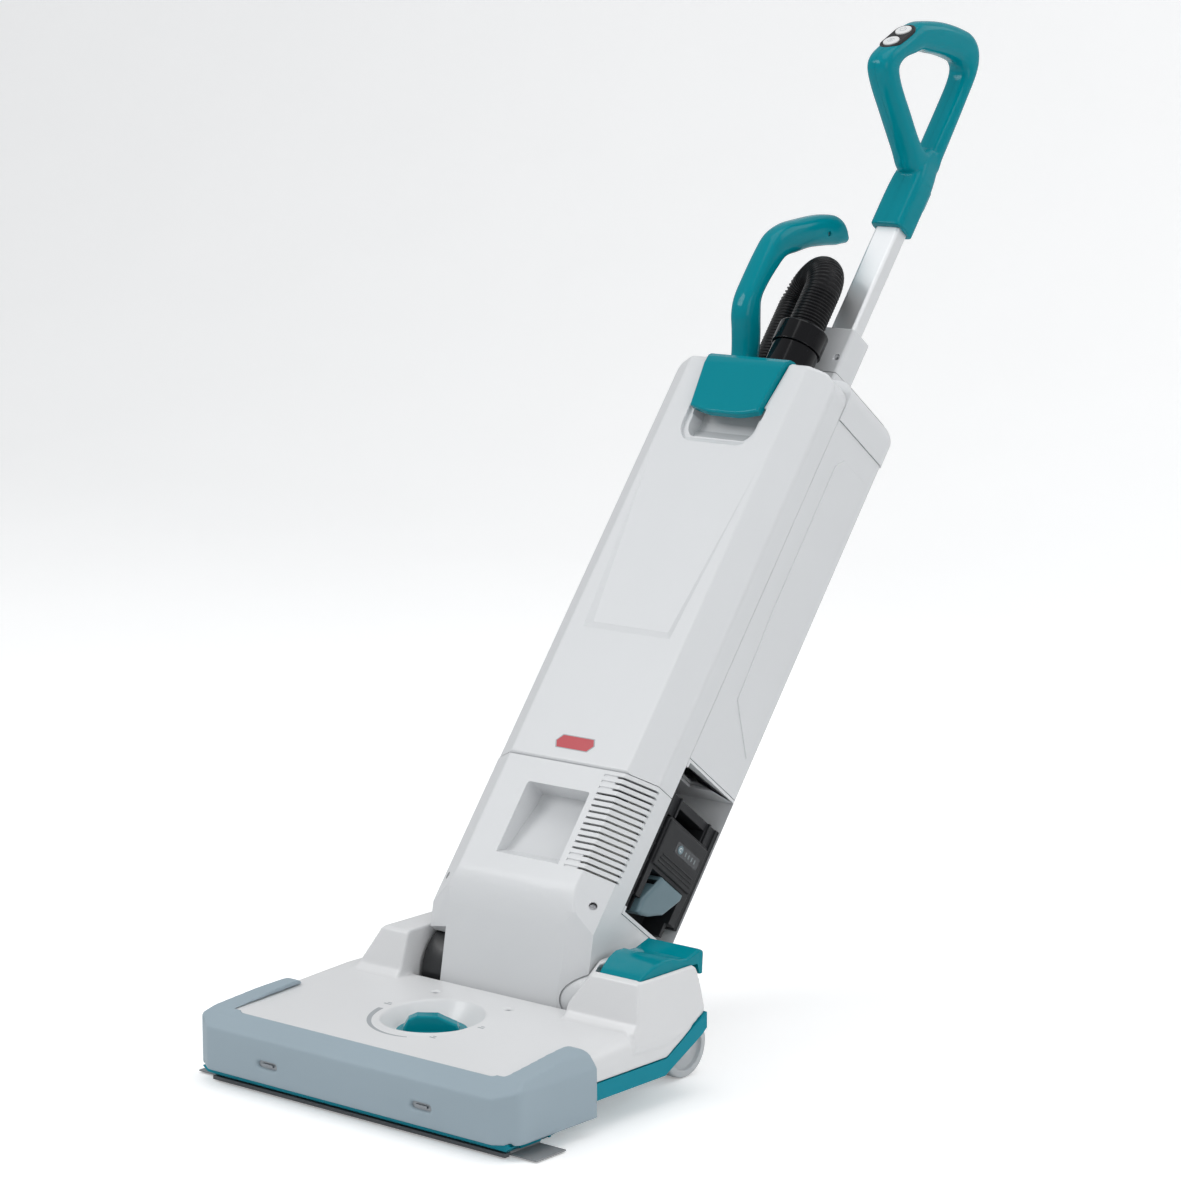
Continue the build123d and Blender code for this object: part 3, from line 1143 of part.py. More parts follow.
# ----------------------------------------------------------------- wheels
def wheel(x0, x1, groove_x0, groove_x1):
    """Wheel with a ring groove in its outer face."""
    body = cyl_x(WHEEL_Y, WHEEL_R, WHEEL_R, x0, x1)
    body = round_edges(body, lambda edge: edge.geom_type == GeomType.CIRCLE, 3.0)
    body -= cyl_x(WHEEL_Y, WHEEL_R, AXLE_R + 0.06, x0 - 1, x1 + 1)
    body -= ring_x(WHEEL_Y, WHEEL_R, WHEEL_R - 7.5, 9.0, groove_x0, groove_x1)
    return body


# --------------------------------------------------------- height setting
KNOB_ANGLE = 40.0
ROLLER_R, ROLLER_Y = 11.0, -144.0


def height_knob():
    knob = cyl_z(0, DIAL_Y, 34.0, 58.4, 61.0)
    knob += cyl_z(0, DIAL_Y, 8.6, 46.0, 60.0) + cyl_z(0, DIAL_Y, 7.6, 31.6, 47.0)
    bar = prism_y([(-27, 60.6), (-27, 64), (-22, 72.5), (-14, 76.0), (6, 75.5), (14, 71.5),
                   (24, 67.0), (27, 60.6)], -8.0, 8.0)
    bar = round_edges(
        bar, lambda edge: abs(abs(mid(edge).Y) - 8) < 0.01 and mid(edge).Z > 61, 2.4)
    knob += Pos(0, DIAL_Y, 0) * Rot(0, 0, KNOB_ANGLE) * bar
    return knob


def height_carriage():
    carriage = box(-74, 74, -160, -132, 24.0, 27.6)
    for side in (-1, 1):
        for x in (50.0, 66.6):
            carriage += prism_x([(-152, 25), (-152, 13), (-147, 7.5), (-141, 7.5), (-136, 13),
                                 (-136, 25)], side * x - 1.6, side * x + 1.6)
        carriage += cyl_z(side * 66.0, DIAL_Y, 3.04, 27.0, 42.0)
    carriage -= cyl_x(ROLLER_Y, ROLLER_R, 2.06, -80, 80)
    return carriage


def front_rollers():
    rollers = cyl_x(ROLLER_Y, ROLLER_R, 2.0, -69.0, 69.0)
    for x in (-58.3, 58.3):
        roller = cyl_x(ROLLER_Y, ROLLER_R, ROLLER_R, x - 5.8, x + 5.8)
        rollers += round_edges(roller, lambda edge: edge.geom_type == GeomType.CIRCLE, 2.0)
    return rollers


# ------------------------------------------------------------- foot pedal
PEDAL_SIDE = [                  # (y, z)
    (-52.6, 106.5), (-52.6, 120.0), (-47, 124.0), (-33, 129.5), (-15, 132.5), (-2, 131.5),
    (8, 128.0), (19, 127.0), (29, 130.0), (38, 132.5), (42.5, 130.5), (41.0, 108.5),
    (37.0, 108.5), (34, 119.0), (20, 119.5), (-20, 118.5), (-40, 106.5)]


def foot_pedal():
    outer_x = PEDAL_X1 - 0.6
    pedal = prism_x(PEDAL_SIDE, PEDAL_X0 + 1.0, outer_x)
    # the inner front corner is cut on the slant
    pedal -= prism_z([(PEDAL_X0 - 2, -60), (PEDAL_X0 + 16, -60), (PEDAL_X0 + 16, -52.5),
                      (PEDAL_X0 + 6, -20), (PEDAL_X0 + 1, 20), (PEDAL_X0 - 2, 20)], 90, 150)
    pedal = round_edges(
        pedal, lambda edge: abs(mid(edge).X - outer_x) < 0.01 and mid(edge).Z > 119.6, 2.5)
    pedal += cyl_x(PEDAL_PIN_Y, PEDAL_PIN_Z, 2.0, PEDAL_X0 + 22.0, PEDAL_X1 + 1.8)
    pedal -= slant(3.4)
    return pedal


def pedal_spring():
    pitch, turns = 2.6, 4
    helix = Helix(pitch=pitch, height=pitch * turns, radius=5.0)
    start = Plane(origin=helix @ 0, z_dir=helix % 0)
    wire = sweep(start * Circle(0.8), path=helix, is_frenet=True)
    return Pos(PEDAL_X0 + 20, 4, 110.6 - pitch * turns / 2) * wire


# ------------------------------------------------------------------ build
shell_left, shell_right = handle_shells()
upright_parts = {
    "bag_door": bag_door(),
    "door_latch": door_latch(),
    "rear_casing": rear_casing(),
    "top_cap": top_cap(),
    "tube_collar": tube_collar(),
    "handle_tube": handle_tube(),
    "handle_shell_left": shell_left,
    "handle_shell_right": shell_right,
    "button_plate": button_plate(),
    "power_button": button(1),
    "mode_button": button(-1),
    "carry_handle": carry_handle(),
    "hose_cuff": hose_cuff(),
    "cuff_ring": cuff_ring(),
    "hose": hose(),
    "riser_sleeve": ring_z(RISER_X, RISER_Y, 24.5, 20.2, CAP_Z1 + 5.4, CAP_Z1 + 26),
    "riser_pipe": ring_z(RISER_X, RISER_Y, RISER_R, RISER_R - 2.0, 40.0, CAP_Z1 + 4.0),
    "lower_casing": lower_casing(),
    "battery_dock": battery_dock(),
    "battery_terminals": battery_terminals(),
    "battery_pack": battery_pack(),
    "battery_release": battery_release(),
    "lower_cover": lower_cover(),
    "body_screws": cover_screws() + handle_screws(),
    "yoke": yoke(),
    "pivot_barrel": pivot_barrel(),
    "duct_elbow": duct_elbow(),
    "suction_motor": suction_motor(),
    "fan_impeller": fan_impeller(),
    "motor_mounts": motor_mounts(),
    "filter_frame": filter_frame(),
    "filter_pleats": filter_pleats(),
    "dust_bag": dust_bag(),
    "bag_card": bag_card(),
    "control_board": control_board(),
    "handle_cable": handle_cable(),
    "door_seal": door_seal(),
}
deck_cover = head_cover()
head_parts = {
    "head_cover": deck_cover,
    "head_screws": head_screws(),
    "chassis": chassis(),
    "bumper": bumper(deck_cover),
    "bumper_clips": bumper_clips(),
    "edge_strips": edge_strips(),
    "mouth_strips": mouth_strips(),
    "brush_roller": brush_roller(),
    "brush_tufts": brush_tufts(),
    "brush_bearings": brush_bearings(),
    "brush_motor": brush_motor(),
    "motor_pulley": motor_pulley(),
    "drive_belt": drive_belt(),
    "floor_duct": floor_duct(),
    "pivot_pin": pivot_pin(),
    "rear_axle": cyl_x(WHEEL_Y, WHEEL_R, AXLE_R, -158.0, 158.0),
    "wheel_left": wheel(-WHEEL_X1, -WHEEL_X0, -WHEEL_X1 - 1, -WHEEL_X1 + 5),
    "wheel_right": wheel(WHEEL_X0, WHEEL_X1, WHEEL_X1 - 5, WHEEL_X1 + 1),
    "height_knob": height_knob(),
    "height_carriage": height_carriage(),
    "front_rollers": front_rollers(),
    "foot_pedal": foot_pedal(),
    "pedal_spring": pedal_spring(),
}

os.makedirs("parts", exist_ok=True)
for old in os.listdir("parts"):
    if old.endswith(".step"):
        os.remove(os.path.join("parts", old))
for group, upright in ((upright_parts, True), (head_parts, False)):
    for name, shape in group.items():
        export_step(gather(shape, upright), os.path.join("parts", name + ".step"))
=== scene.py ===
# Upright vacuum cleaner with a looped hose, a carrying handle and a grip at the top. Row
# frame: metres, floor at z = 0, x across, the head's brush towards -Y. The upright body leans
# back towards +Y; it is drawn in its own frame, in millimetres, with z running up along the
# body and -y on its front.
import bpy, bmesh, math, json, random
from mathutils import Vector, Matrix, noise


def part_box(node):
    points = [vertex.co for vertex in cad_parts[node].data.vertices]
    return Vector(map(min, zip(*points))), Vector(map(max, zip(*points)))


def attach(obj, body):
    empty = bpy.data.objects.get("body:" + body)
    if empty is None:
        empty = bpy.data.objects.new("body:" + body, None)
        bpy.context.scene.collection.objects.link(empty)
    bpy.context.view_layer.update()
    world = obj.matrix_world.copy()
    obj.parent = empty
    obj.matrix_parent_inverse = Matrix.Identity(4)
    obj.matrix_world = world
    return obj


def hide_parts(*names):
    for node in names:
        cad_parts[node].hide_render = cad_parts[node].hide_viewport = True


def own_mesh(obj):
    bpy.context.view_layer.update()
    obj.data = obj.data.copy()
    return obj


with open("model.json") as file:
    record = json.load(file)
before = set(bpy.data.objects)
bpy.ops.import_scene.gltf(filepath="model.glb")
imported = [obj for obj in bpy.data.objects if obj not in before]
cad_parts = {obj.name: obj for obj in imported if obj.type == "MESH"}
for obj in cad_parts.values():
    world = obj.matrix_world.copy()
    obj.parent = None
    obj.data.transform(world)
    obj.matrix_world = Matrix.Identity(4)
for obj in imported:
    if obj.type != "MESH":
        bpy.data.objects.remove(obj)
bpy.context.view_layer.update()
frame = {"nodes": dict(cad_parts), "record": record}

NODES = frame["nodes"]
random.seed(11)
scene = bpy.context.scene

# ------------------------------------------------------------------ frames
MM = 0.001
LEAN = math.radians(38.0)
LEAN_COS, LEAN_SIN = math.cos(LEAN), math.sin(LEAN)
PIVOT_Z = 76.0  # mm, height of the upright frame's origin


def upright(x, y, z):
    """Upright frame in mm -> row frame in metres."""
    return Vector((x * MM, (y * LEAN_COS + z * LEAN_SIN) * MM,
                   (PIVOT_Z - y * LEAN_SIN + z * LEAN_COS) * MM))


def row(x, y, z):
    """Row frame in mm -> row frame in metres."""
    return Vector((x * MM, y * MM, z * MM))


def to_upright(point):
    """Row frame in metres -> (y, z) in the upright frame, mm."""
    rise = point.z - PIVOT_Z * MM
    return ((point.y * LEAN_COS - rise * LEAN_SIN) / MM,
            (point.y * LEAN_SIN + rise * LEAN_COS) / MM)


# ------------------------------------------------------------ shader helpers
MATS = {}


def set_inputs(tree, target, inputs):
    """Gives each named or numbered input a value, or links it when given a socket."""
    for key, value in inputs.items():
        if isinstance(value, bpy.types.NodeSocket):
            tree.links.new(value, target.inputs[key])
        else:
            target.inputs[key].default_value = value


def add_node(tree, kind, inputs=None, **settings):
    made = tree.nodes.new(kind)
    # settings come first, since they decide which sockets are available
    for key, value in settings.items():
        setattr(made, key, value)
    set_inputs(tree, made, inputs or {})
    return made


def new_material(name):
    """Returns the node tree, its Principled shader and the object coordinates."""
    material = bpy.data.materials.new(name)
    material.use_nodes = True
    tree = material.node_tree
    tree.nodes.clear()
    output = add_node(tree, "ShaderNodeOutputMaterial")
    shader = add_node(tree, "ShaderNodeBsdfPrincipled")
    tree.links.new(shader.outputs[0], output.inputs[0])
    coords = add_node(tree, "ShaderNodeTexCoord")
    MATS[name] = material
    return tree, shader, coords.outputs["Object"]


def noise_fac(tree, vector, scale, detail, rough=0.5):
    inputs = {"Vector": vector, "Scale": scale, "Detail": detail, "Roughness": rough}
    return add_node(tree, "ShaderNodeTexNoise", inputs).outputs["Fac"]


def mix_colour(tree, factor, first, second):
    inputs = {"Factor": factor, "A": first, "B": second}
    return add_node(tree, "ShaderNodeMix", inputs, data_type="RGBA").outputs["Result"]


def map_range(tree, value, to_min, to_max, from_min=0.0, from_max=1.0):
    inputs = {"Value": value, "From Min": from_min, "From Max": from_max,
              "To Min": to_min, "To Max": to_max}
    return add_node(tree, "ShaderNodeMapRange", inputs).outputs["Result"]


def math_node(tree, operation, *values):
    inputs = dict(enumerate(values))
    return add_node(tree, "ShaderNodeMath", inputs, operation=operation).outputs[0]


def bump_normal(tree, height, strength, distance):
    inputs = {"Height": height, "Strength": strength, "Distance": distance}
    return add_node(tree, "ShaderNodeBump", inputs)


def tint(colour, gain, lift=0.0):
    return (*[min(1.0, c * gain + lift) for c in colour], 1)


# -------------------------------------------------------------- material kinds
def plastic(name, colour, rough=0.35, grain=2600.0, bump=0.10, var=0.03, coat=0.0,
            spec=0.5, worn=False):
    """Moulded plastic: mottled colour and gloss, fine grain, paler edges where worn."""
    tree, shader, coords = new_material(name)
    base = mix_colour(tree, noise_fac(tree, coords, scale=14.0, detail=4.0),
                      tint(colour, 1 - var), tint(colour, 1 + var))
    if worn:
        # an edge shows where the rounded normal turns away from the true one
        rounded = add_node(tree, "ShaderNodeBevel", {"Radius": 0.0011}, samples=4).outputs[0]
        geometry = add_node(tree, "ShaderNodeNewGeometry")
        match = add_node(tree, "ShaderNodeVectorMath",
                         {0: rounded, 1: geometry.outputs["Normal"]}, operation="DOT_PRODUCT")
        wear = map_range(tree, match.outputs["Value"], to_min=0.0, to_max=0.30,
                         from_min=0.997, from_max=0.90)
        base = mix_colour(tree, wear, base, tint(colour, gain=1.25, lift=0.02))
    gloss_spread = 0.06
    gloss = noise_fac(tree, coords, scale=38.0, detail=5.0, rough=0.6)
    roughness = map_range(tree, gloss, to_min=max(0.02, rough - gloss_spread),
                          to_max=min(1.0, rough + gloss_spread))
    fine = noise_fac(tree, coords, scale=grain, detail=2.0)
    relief = bump_normal(tree, fine, strength=bump, distance=0.00025)
    if worn:
        set_inputs(tree, relief, {"Normal": rounded})
    set_inputs(tree, shader, {"Base Color": base, "Roughness": roughness,
                              "Normal": relief.outputs[0], "Specular IOR Level": spec})
    if coat:
        set_inputs(tree, shader, {"Coat Weight": coat, "Coat Roughness": 0.06})
    return tree, shader


def metal(name, colour, rough, stretch, bump=0.05, aniso=0.3, leaning=False):
    """Brushed or drawn metal; stretch scales the noise along x, y and z."""
    tree, shader, coords = new_material(name)
    mapping = add_node(tree, "ShaderNodeMapping", {
        "Vector": coords, "Rotation": (LEAN if leaning else 0.0, 0, 0), "Scale": stretch})
    lines = noise_fac(tree, mapping.outputs[0], scale=90.0, detail=6.0, rough=0.7)
    relief = bump_normal(tree, lines, strength=bump, distance=0.0002)
    set_inputs(tree, shader, {
        "Roughness": map_range(tree, lines, to_min=rough - 0.09, to_max=rough + 0.12),
        "Base Color": mix_colour(tree, lines, tint(colour, 0.92), tint(colour, 1.05)),
        "Normal": relief.outputs[0],
        "Metallic": 1.0,
        "Anisotropic": aniso,
    })


def rubber(name, colour, rough=0.7, scale=900.0, bump=0.25):
    tree, shader, coords = new_material(name)
    fine = noise_fac(tree, coords, scale=scale, detail=3.0)
    drift = noise_fac(tree, coords, scale=22.0, detail=3.0)
    relief = bump_normal(tree, fine, strength=bump, distance=0.0004)
    set_inputs(tree, shader, {
        "Base Color": mix_colour(tree, drift, tint(colour, gain=0.8),
                                 tint(colour, gain=1.25, lift=0.004)),
        "Normal": relief.outputs[0],
        "Roughness": rough,
        "Specular IOR Level": 0.35,
    })


def cloth(name, colour, thread, bump, rough=0.9):
    """Cloth: crossed threads, fibre fuzz, colour drift."""
    tree, shader, coords = new_material(name)
    threads = [
        add_node(tree, "ShaderNodeTexWave",
                 {"Vector": coords, "Scale": thread / 6.0, "Distortion": 1.2, "Detail": 2.0},
                 bands_direction=direction).outputs["Fac"]
        for direction in ("X", "Z")
    ]
    weave = math_node(tree, "MAXIMUM", *threads)
    fuzz = noise_fac(tree, coords, scale=700.0, detail=6.0)
    relief = bump_normal(tree, math_node(tree, "ADD", weave, fuzz),
                         strength=bump, distance=0.0006)
    drift = noise_fac(tree, coords, scale=9.0, detail=4.0)
    set_inputs(tree, shader, {
        "Base Color": mix_colour(tree, drift, tint(colour, 0.82), tint(colour, 1.08)),
        "Normal": relief.outputs[0],
        "Roughness": rough,
        "Sheen Weight": 0.35,
        "Sheen Roughness": 0.5,
    })


# ------------------------------------------------------------------ materials
BODY_GREY = (0.660, 0.672, 0.684)
DARK = (0.016, 0.017, 0.019)
BODY_FINISH = dict(rough=0.36, grain=1900, bump=0.10, var=0.012, coat=0.10)

plastic("m_body", BODY_GREY, **BODY_FINISH)
plastic("m_head", (0.700, 0.705, 0.712), rough=0.34, grain=1900, var=0.012, coat=0.10)
plastic("m_teal", (0.000, 0.218, 0.268), rough=0.13, bump=0.02, var=0.05, spec=0.14)
plastic("m_teal_base", (0.004, 0.232, 0.305), rough=0.40, grain=1700, bump=0.14, var=0.05,
        spec=0.12)
plastic("m_bumper", (0.315, 0.392, 0.442), rough=0.58, grain=1200, bump=0.22, spec=0.35)
plastic("m_dark", DARK, rough=0.46, grain=1500, bump=0.20, var=0.12, spec=0.3, worn=True)
plastic("m_black_gloss", (0.004, 0.004, 0.005), rough=0.12, bump=0.02, var=0.10, spec=0.26)
plastic("m_hose", (0.007, 0.007, 0.008), rough=0.30, grain=2200, bump=0.06, var=0.15,
        spec=0.24)
plastic("m_battery", (0.018, 0.019, 0.021), rough=0.40, grain=1500, bump=0.25, var=0.10,
        spec=0.3, worn=True)
plastic("m_button_blue", (0.115, 0.185, 0.215), rough=0.34, grain=1900, var=0.04, coat=0.2,
        worn=True)
plastic("m_button_white", (0.72, 0.73, 0.73), rough=0.38, grain=2200, bump=0.06, var=0.01)
plastic("m_wheel", (0.50, 0.52, 0.535), rough=0.52, grain=1300, bump=0.18)
plastic("m_mark", (0.36, 0.38, 0.40), rough=0.55, grain=2200, bump=0.05, var=0.02)
plastic("m_strip", (0.115, 0.118, 0.125), rough=0.62, grain=1500, bump=0.20, var=0.08,
        spec=0.3)
plastic("m_label", (0.032, 0.035, 0.040), rough=0.24, bump=0.03, var=0.05, coat=0.3)
plastic("m_print_white", (0.80, 0.81, 0.81), rough=0.5, bump=0.03, var=0.01)
plastic("m_led", (0.16, 0.19, 0.20), rough=0.25, bump=0.02, coat=0.4)
plastic("m_board", (0.010, 0.115, 0.055), rough=0.40, grain=900, bump=0.25, var=0.20)
plastic("m_filter", (0.78, 0.78, 0.74), rough=0.9, grain=700, bump=0.5, var=0.05, spec=0.2)
plastic("m_card", (0.42, 0.33, 0.23), rough=0.85, grain=600, bump=0.5, var=0.12, spec=0.2)
plastic("m_red", (0.46, 0.018, 0.032), rough=0.30, grain=2400, bump=0.03, coat=0.3)
metal("m_alu", (0.86, 0.87, 0.88), rough=0.50, stretch=(40, 40, 0.6), bump=0.04, aniso=0.0,
      leaning=True)
metal("m_clip", (0.30, 0.32, 0.34), rough=0.35, stretch=(1, 8, 8), bump=0.02, aniso=0.0)
metal("m_steel", (0.62, 0.63, 0.65), rough=0.30, stretch=(1, 30, 30))
metal("m_motor", (0.50, 0.51, 0.53), rough=0.36, stretch=(4, 60, 60), bump=0.10)
metal("m_copper", (0.80, 0.50, 0.30), rough=0.25, stretch=(20, 20, 20), bump=0.03)
rubber("m_rubber", (0.022, 0.022, 0.023))
rubber("m_rubber_grey", (0.26, 0.27, 0.28), rough=0.8, scale=700, bump=0.5)
cloth("m_bag", (0.70, 0.67, 0.60), thread=1700, bump=0.55)
cloth("m_bristle", (0.05, 0.052, 0.058), thread=3200, bump=0.3, rough=0.6)
# spare finishes, worn by no piece
plastic("m_dark_grey", (0.060, 0.064, 0.070), rough=0.45, grain=1700, bump=0.14, var=0.06,
        worn=True)
metal("m_chrome", (0.80, 0.81, 0.83), rough=0.12, stretch=(1, 8, 8), bump=0.02, aniso=0.0)
cloth("m_felt", (0.16, 0.17, 0.18), thread=2600, bump=0.9, rough=0.95)


def barrel_plastic():
    """Body grey beyond BODY_FROM_X on the +X side, dark on the rest."""
    body_from_x = 0.060  # m
    tree, shader = plastic("m_barrel", BODY_GREY, **BODY_FINISH)
    grey = shader.inputs["Base Color"].links[0].from_socket
    coords = add_node(tree, "ShaderNodeTexCoord")
    axes = add_node(tree, "ShaderNodeSeparateXYZ", {0: coords.outputs["Object"]})
    is_body = math_node(tree, "GREATER_THAN", axes.outputs["X"], body_from_x)
    set_inputs(tree, shader, {"Base Color": mix_colour(tree, is_body, (*DARK, 1), grey)})


barrel_plastic()

# ----------------------------------------------------------------- CAD pieces
MATERIAL_OF_SLOT = {
    "white_shell": "m_head", "steel": "m_steel", "teal_base": "m_teal_base",
    "bumper_grey": "m_bumper", "bright_steel": "m_clip", "strip_grey": "m_rubber_grey",
    "black_rubber": "m_rubber", "dark_plastic": "m_dark", "bristle": "m_bristle",
    "motor_steel": "m_motor", "wheel_grey": "m_wheel", "teal_trim": "m_teal",
    "body_grey": "m_body", "bright_alu": "m_alu", "button_white": "m_button_white",
    "black_gloss": "m_black_gloss", "hose_black": "m_hose", "copper": "m_copper",
    "battery_black": "m_battery", "button_blue": "m_button_blue", "fan_alu": "m_motor",
    "filter_white": "m_filter", "bag_fabric": "m_bag", "card": "m_card",
    "board_green": "m_board",
}
SLOT_OF = {s["node"]: s["material_slot"] for s in frame["record"]["subparts"]}

BEVEL_WIDTH = {  # mm
    "bag_door": 1.4, "lower_cover": 1.2, "rear_casing": 1.2, "top_cap": 1.2,
    "lower_casing": 1.0, "tube_collar": 0.8, "chassis": 0.8, "foot_pedal": 1.6,
    "door_latch": 1.0, "battery_pack": 0.8, "battery_release": 0.9, "battery_dock": 0.6,
    "height_knob": 0.9, "yoke": 0.8, "button_plate": 0.6, "power_button": 0.5,
    "mode_button": 0.5, "riser_sleeve": 0.7, "wheel_left": 1.0, "wheel_right": 1.0,
    "hose_cuff": 0.7, "cuff_ring": 0.8, "edge_strips": 0.3, "brush_motor": 0.6,
    "suction_motor": 0.8,
}
BEVEL_LIMIT = {  # degrees; pieces whose shallow edges are bevelled too
    "bag_door": 13, "top_cap": 14, "rear_casing": 14, "foot_pedal": 14, "tube_collar": 14,
    "height_knob": 14,
}
USUAL_BEVEL_LIMIT = 30
SOFT_SHELLS = {"bumper": (1.35, 14), "head_cover": (1.35, 5)}  # voxel mm, smoothing passes


def set_material(obj, name):
    materials = obj.data.materials
    if len(materials) == 0:
        materials.append(MATS[name])
    else:
        for i in range(len(materials)):
            materials[i] = MATS[name]


def smooth_faces(obj):
    for face in obj.data.polygons:
        face.use_smooth = True


def add_soft_skin(obj, voxel, passes, smooth_shade=False):
    """Voxel remesh (size in mm) followed by smoothing, which rounds every edge."""
    remesh = obj.modifiers.new("voxels", "REMESH")
    remesh.mode = "VOXEL"
    remesh.voxel_size = voxel * MM
    remesh.use_smooth_shade = smooth_shade
    soften = obj.modifiers.new("soften", "SMOOTH")
    soften.factor = 0.5
    soften.iterations = passes


def add_edge_split(obj, degrees):
    split = obj.modifiers.new("es", "EDGE_SPLIT")
    split.split_angle = math.radians(degrees)
    return split


def add_bevel(obj, width, limit):
    flat = obj.modifiers.new("flat", "DECIMATE")
    flat.decimate_type = "DISSOLVE"
    flat.angle_limit = math.radians(0.4)
    bevel = obj.modifiers.new("bevel", "BEVEL")
    bevel.width = width * MM
    bevel.segments = 3
    bevel.limit_method = "ANGLE"
    bevel.angle_limit = math.radians(limit)
    bevel.use_clamp_overlap = True
    bevel.miter_outer = "MITER_ARC"


def dress_cad_piece(name, obj):
    set_material(obj, MATERIAL_OF_SLOT[SLOT_OF[name]])
    smooth_faces(obj)
    weld = obj.modifiers.new("weld", "WELD")
    weld.merge_threshold = 0.00001
    if name in SOFT_SHELLS:
        add_soft_skin(obj, *SOFT_SHELLS[name], smooth_shade=True)
        return
    if name in BEVEL_WIDTH:
        add_bevel(obj, BEVEL_WIDTH[name], BEVEL_LIMIT.get(name, USUAL_BEVEL_LIMIT))
    add_edge_split(obj, 34).use_edge_sharp = False
    normals = obj.modifiers.new("wn", "WEIGHTED_NORMAL")
    normals.keep_sharp = True


def colour_dock_ledge():
    """The dock's ledge below the battery is body coloured."""
    mean_below, top_below = 88.0, 92.0  # mm up the upright: face centre, highest corner
    mesh = NODES["battery_dock"].data
    mesh.materials.append(MATS["m_body"])
    for face in mesh.polygons:
        corners = [mesh.vertices[i].co for i in face.vertices]
        centre = sum(corners, Vector((0, 0, 0))) / len(corners)
        top = max(to_upright(corner)[1] for corner in corners)
        if to_upright(centre)[1] < mean_below and top < top_below:
            face.material_index = len(mesh.materials) - 1


def hide_inner_screw():
    """One grip screw lies on the loop's inner edge, where the grip is slimmer; hide it."""
    screw_y, screw_z, reach = -30.0, 1018.0, 6.0
    screws = NODES["body_screws"]
    hidden = []
    for vertex in screws.data.vertices:
        y, z = to_upright(vertex.co)
        if math.hypot(y - screw_y, z - screw_z) < reach:
            hidden.append(vertex.index)
    group = screws.vertex_groups.new(name="hidden")
    group.add(hidden, 1.0, "REPLACE")
    mask = screws.modifiers.new("hide", "MASK")
    mask.vertex_group = "hidden"
    mask.invert_vertex_group = True
    screws.modifiers.move(len(screws.modifiers) - 1, 0)


def dress_cad_pieces():
    for name, obj in NODES.items():
        dress_cad_piece(name, obj)
    set_material(NODES["mouth_strips"], "m_strip")
    colour_dock_ledge()
    hide_inner_screw()
    for name in ("pivot_barrel", "yoke"):
        set_material(NODES[name], "m_barrel")


# ------------------------------------------------------------ mesh helpers
def spline(points, steps, closed=False):
    """Points on a cardinal spline; each point may be a tuple of any length."""
    tension = 0.5
    count = len(points)
    out = []
    for i in range(count if closed else count - 1):
        before = points[(i - 1) % count] if closed or i > 0 else points[0]
        start, end = points[i % count], points[(i + 1) % count]
        after = points[(i + 2) % count] if closed or i + 2 < count else points[-1]
        for j in range(steps):
            t = j / steps
            h1, h2 = 2 * t ** 3 - 3 * t ** 2 + 1, -2 * t ** 3 + 3 * t ** 2
            h3, h4 = t ** 3 - 2 * t ** 2 + t, t ** 3 - t ** 2
            out.append(tuple(
                h1 * b + h2 * c + h3 * tension * (c - a) + h4 * tension * (d - b)
                for a, b, c, d in zip(before, start, end, after)))
    if not closed:
        out.append(tuple(points[-1]))
    return out


def superellipse(angle, half_a, half_b, power):
    c, s = math.cos(angle), math.sin(angle)
    return (math.copysign(abs(c) ** (2 / power), c) * half_a,
            math.copysign(abs(s) ** (2 / power), s) * half_b)


def loft_faces(rings, sides, closed=False):
    """Quads between rings of vertices; an open loft gets end caps."""
    faces = []
    for i in range(rings if closed else rings - 1):
        a, b = i * sides, ((i + 1) % rings) * sides
        for j in range(sides):
            k = (j + 1) % sides
            faces.append((a + j, a + k, b + k, b + j))
    if not closed:
        faces.append(tuple(range(sides))[::-1])
        faces.append(tuple((rings - 1) * sides + j for j in range(sides)))
    return faces


def new_object(name, mesh):
    obj = bpy.data.objects.new(name, mesh)
    scene.collection.objects.link(obj)
    return obj


def mesh_object(name, verts, faces):
    """New object with its face normals made consistent."""
    mesh = bpy.data.meshes.new(name)
    mesh.from_pydata([tuple(v) for v in verts], [], faces)
    bm = bmesh.new()
    bm.from_mesh(mesh)
    bmesh.ops.recalc_face_normals(bm, faces=bm.faces)
    bm.to_mesh(mesh)
    bm.free()
    return new_object(name, mesh)


def mesh_piece(name, verts, faces, material, body, smooth=True, replaced=()):
    obj = mesh_object(name, verts, faces)
    obj.data.materials.append(MATS[material])
    for face in obj.data.polygons:
        face.use_smooth = smooth
    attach(obj, body)
    if replaced:
        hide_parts(*replaced)
    return obj


def apply_modifiers(obj):
    depsgraph = bpy.context.evaluated_depsgraph_get()
    mesh = bpy.data.meshes.new_from_object(obj.evaluated_get(depsgraph))
    obj.modifiers.clear()
    old = obj.data
    obj.data = mesh
    bpy.data.meshes.remove(old)


def cut_away(obj, ends):
    """Cuts a prism, given as its two end rings, out of an object."""
    verts = [v for ring in ends for v in ring]
    tool = mesh_object("cutter", verts, loft_faces(2, len(ends[0])))
    cut = obj.modifiers.new("cut", "BOOLEAN")
    cut.operation = "DIFFERENCE"
    cut.solver = "EXACT"
    cut.object = tool
    apply_modifiers(obj)
    mesh = tool.data
    bpy.data.objects.remove(tool)
    bpy.data.meshes.remove(mesh)


STRAP_SIDES = 40


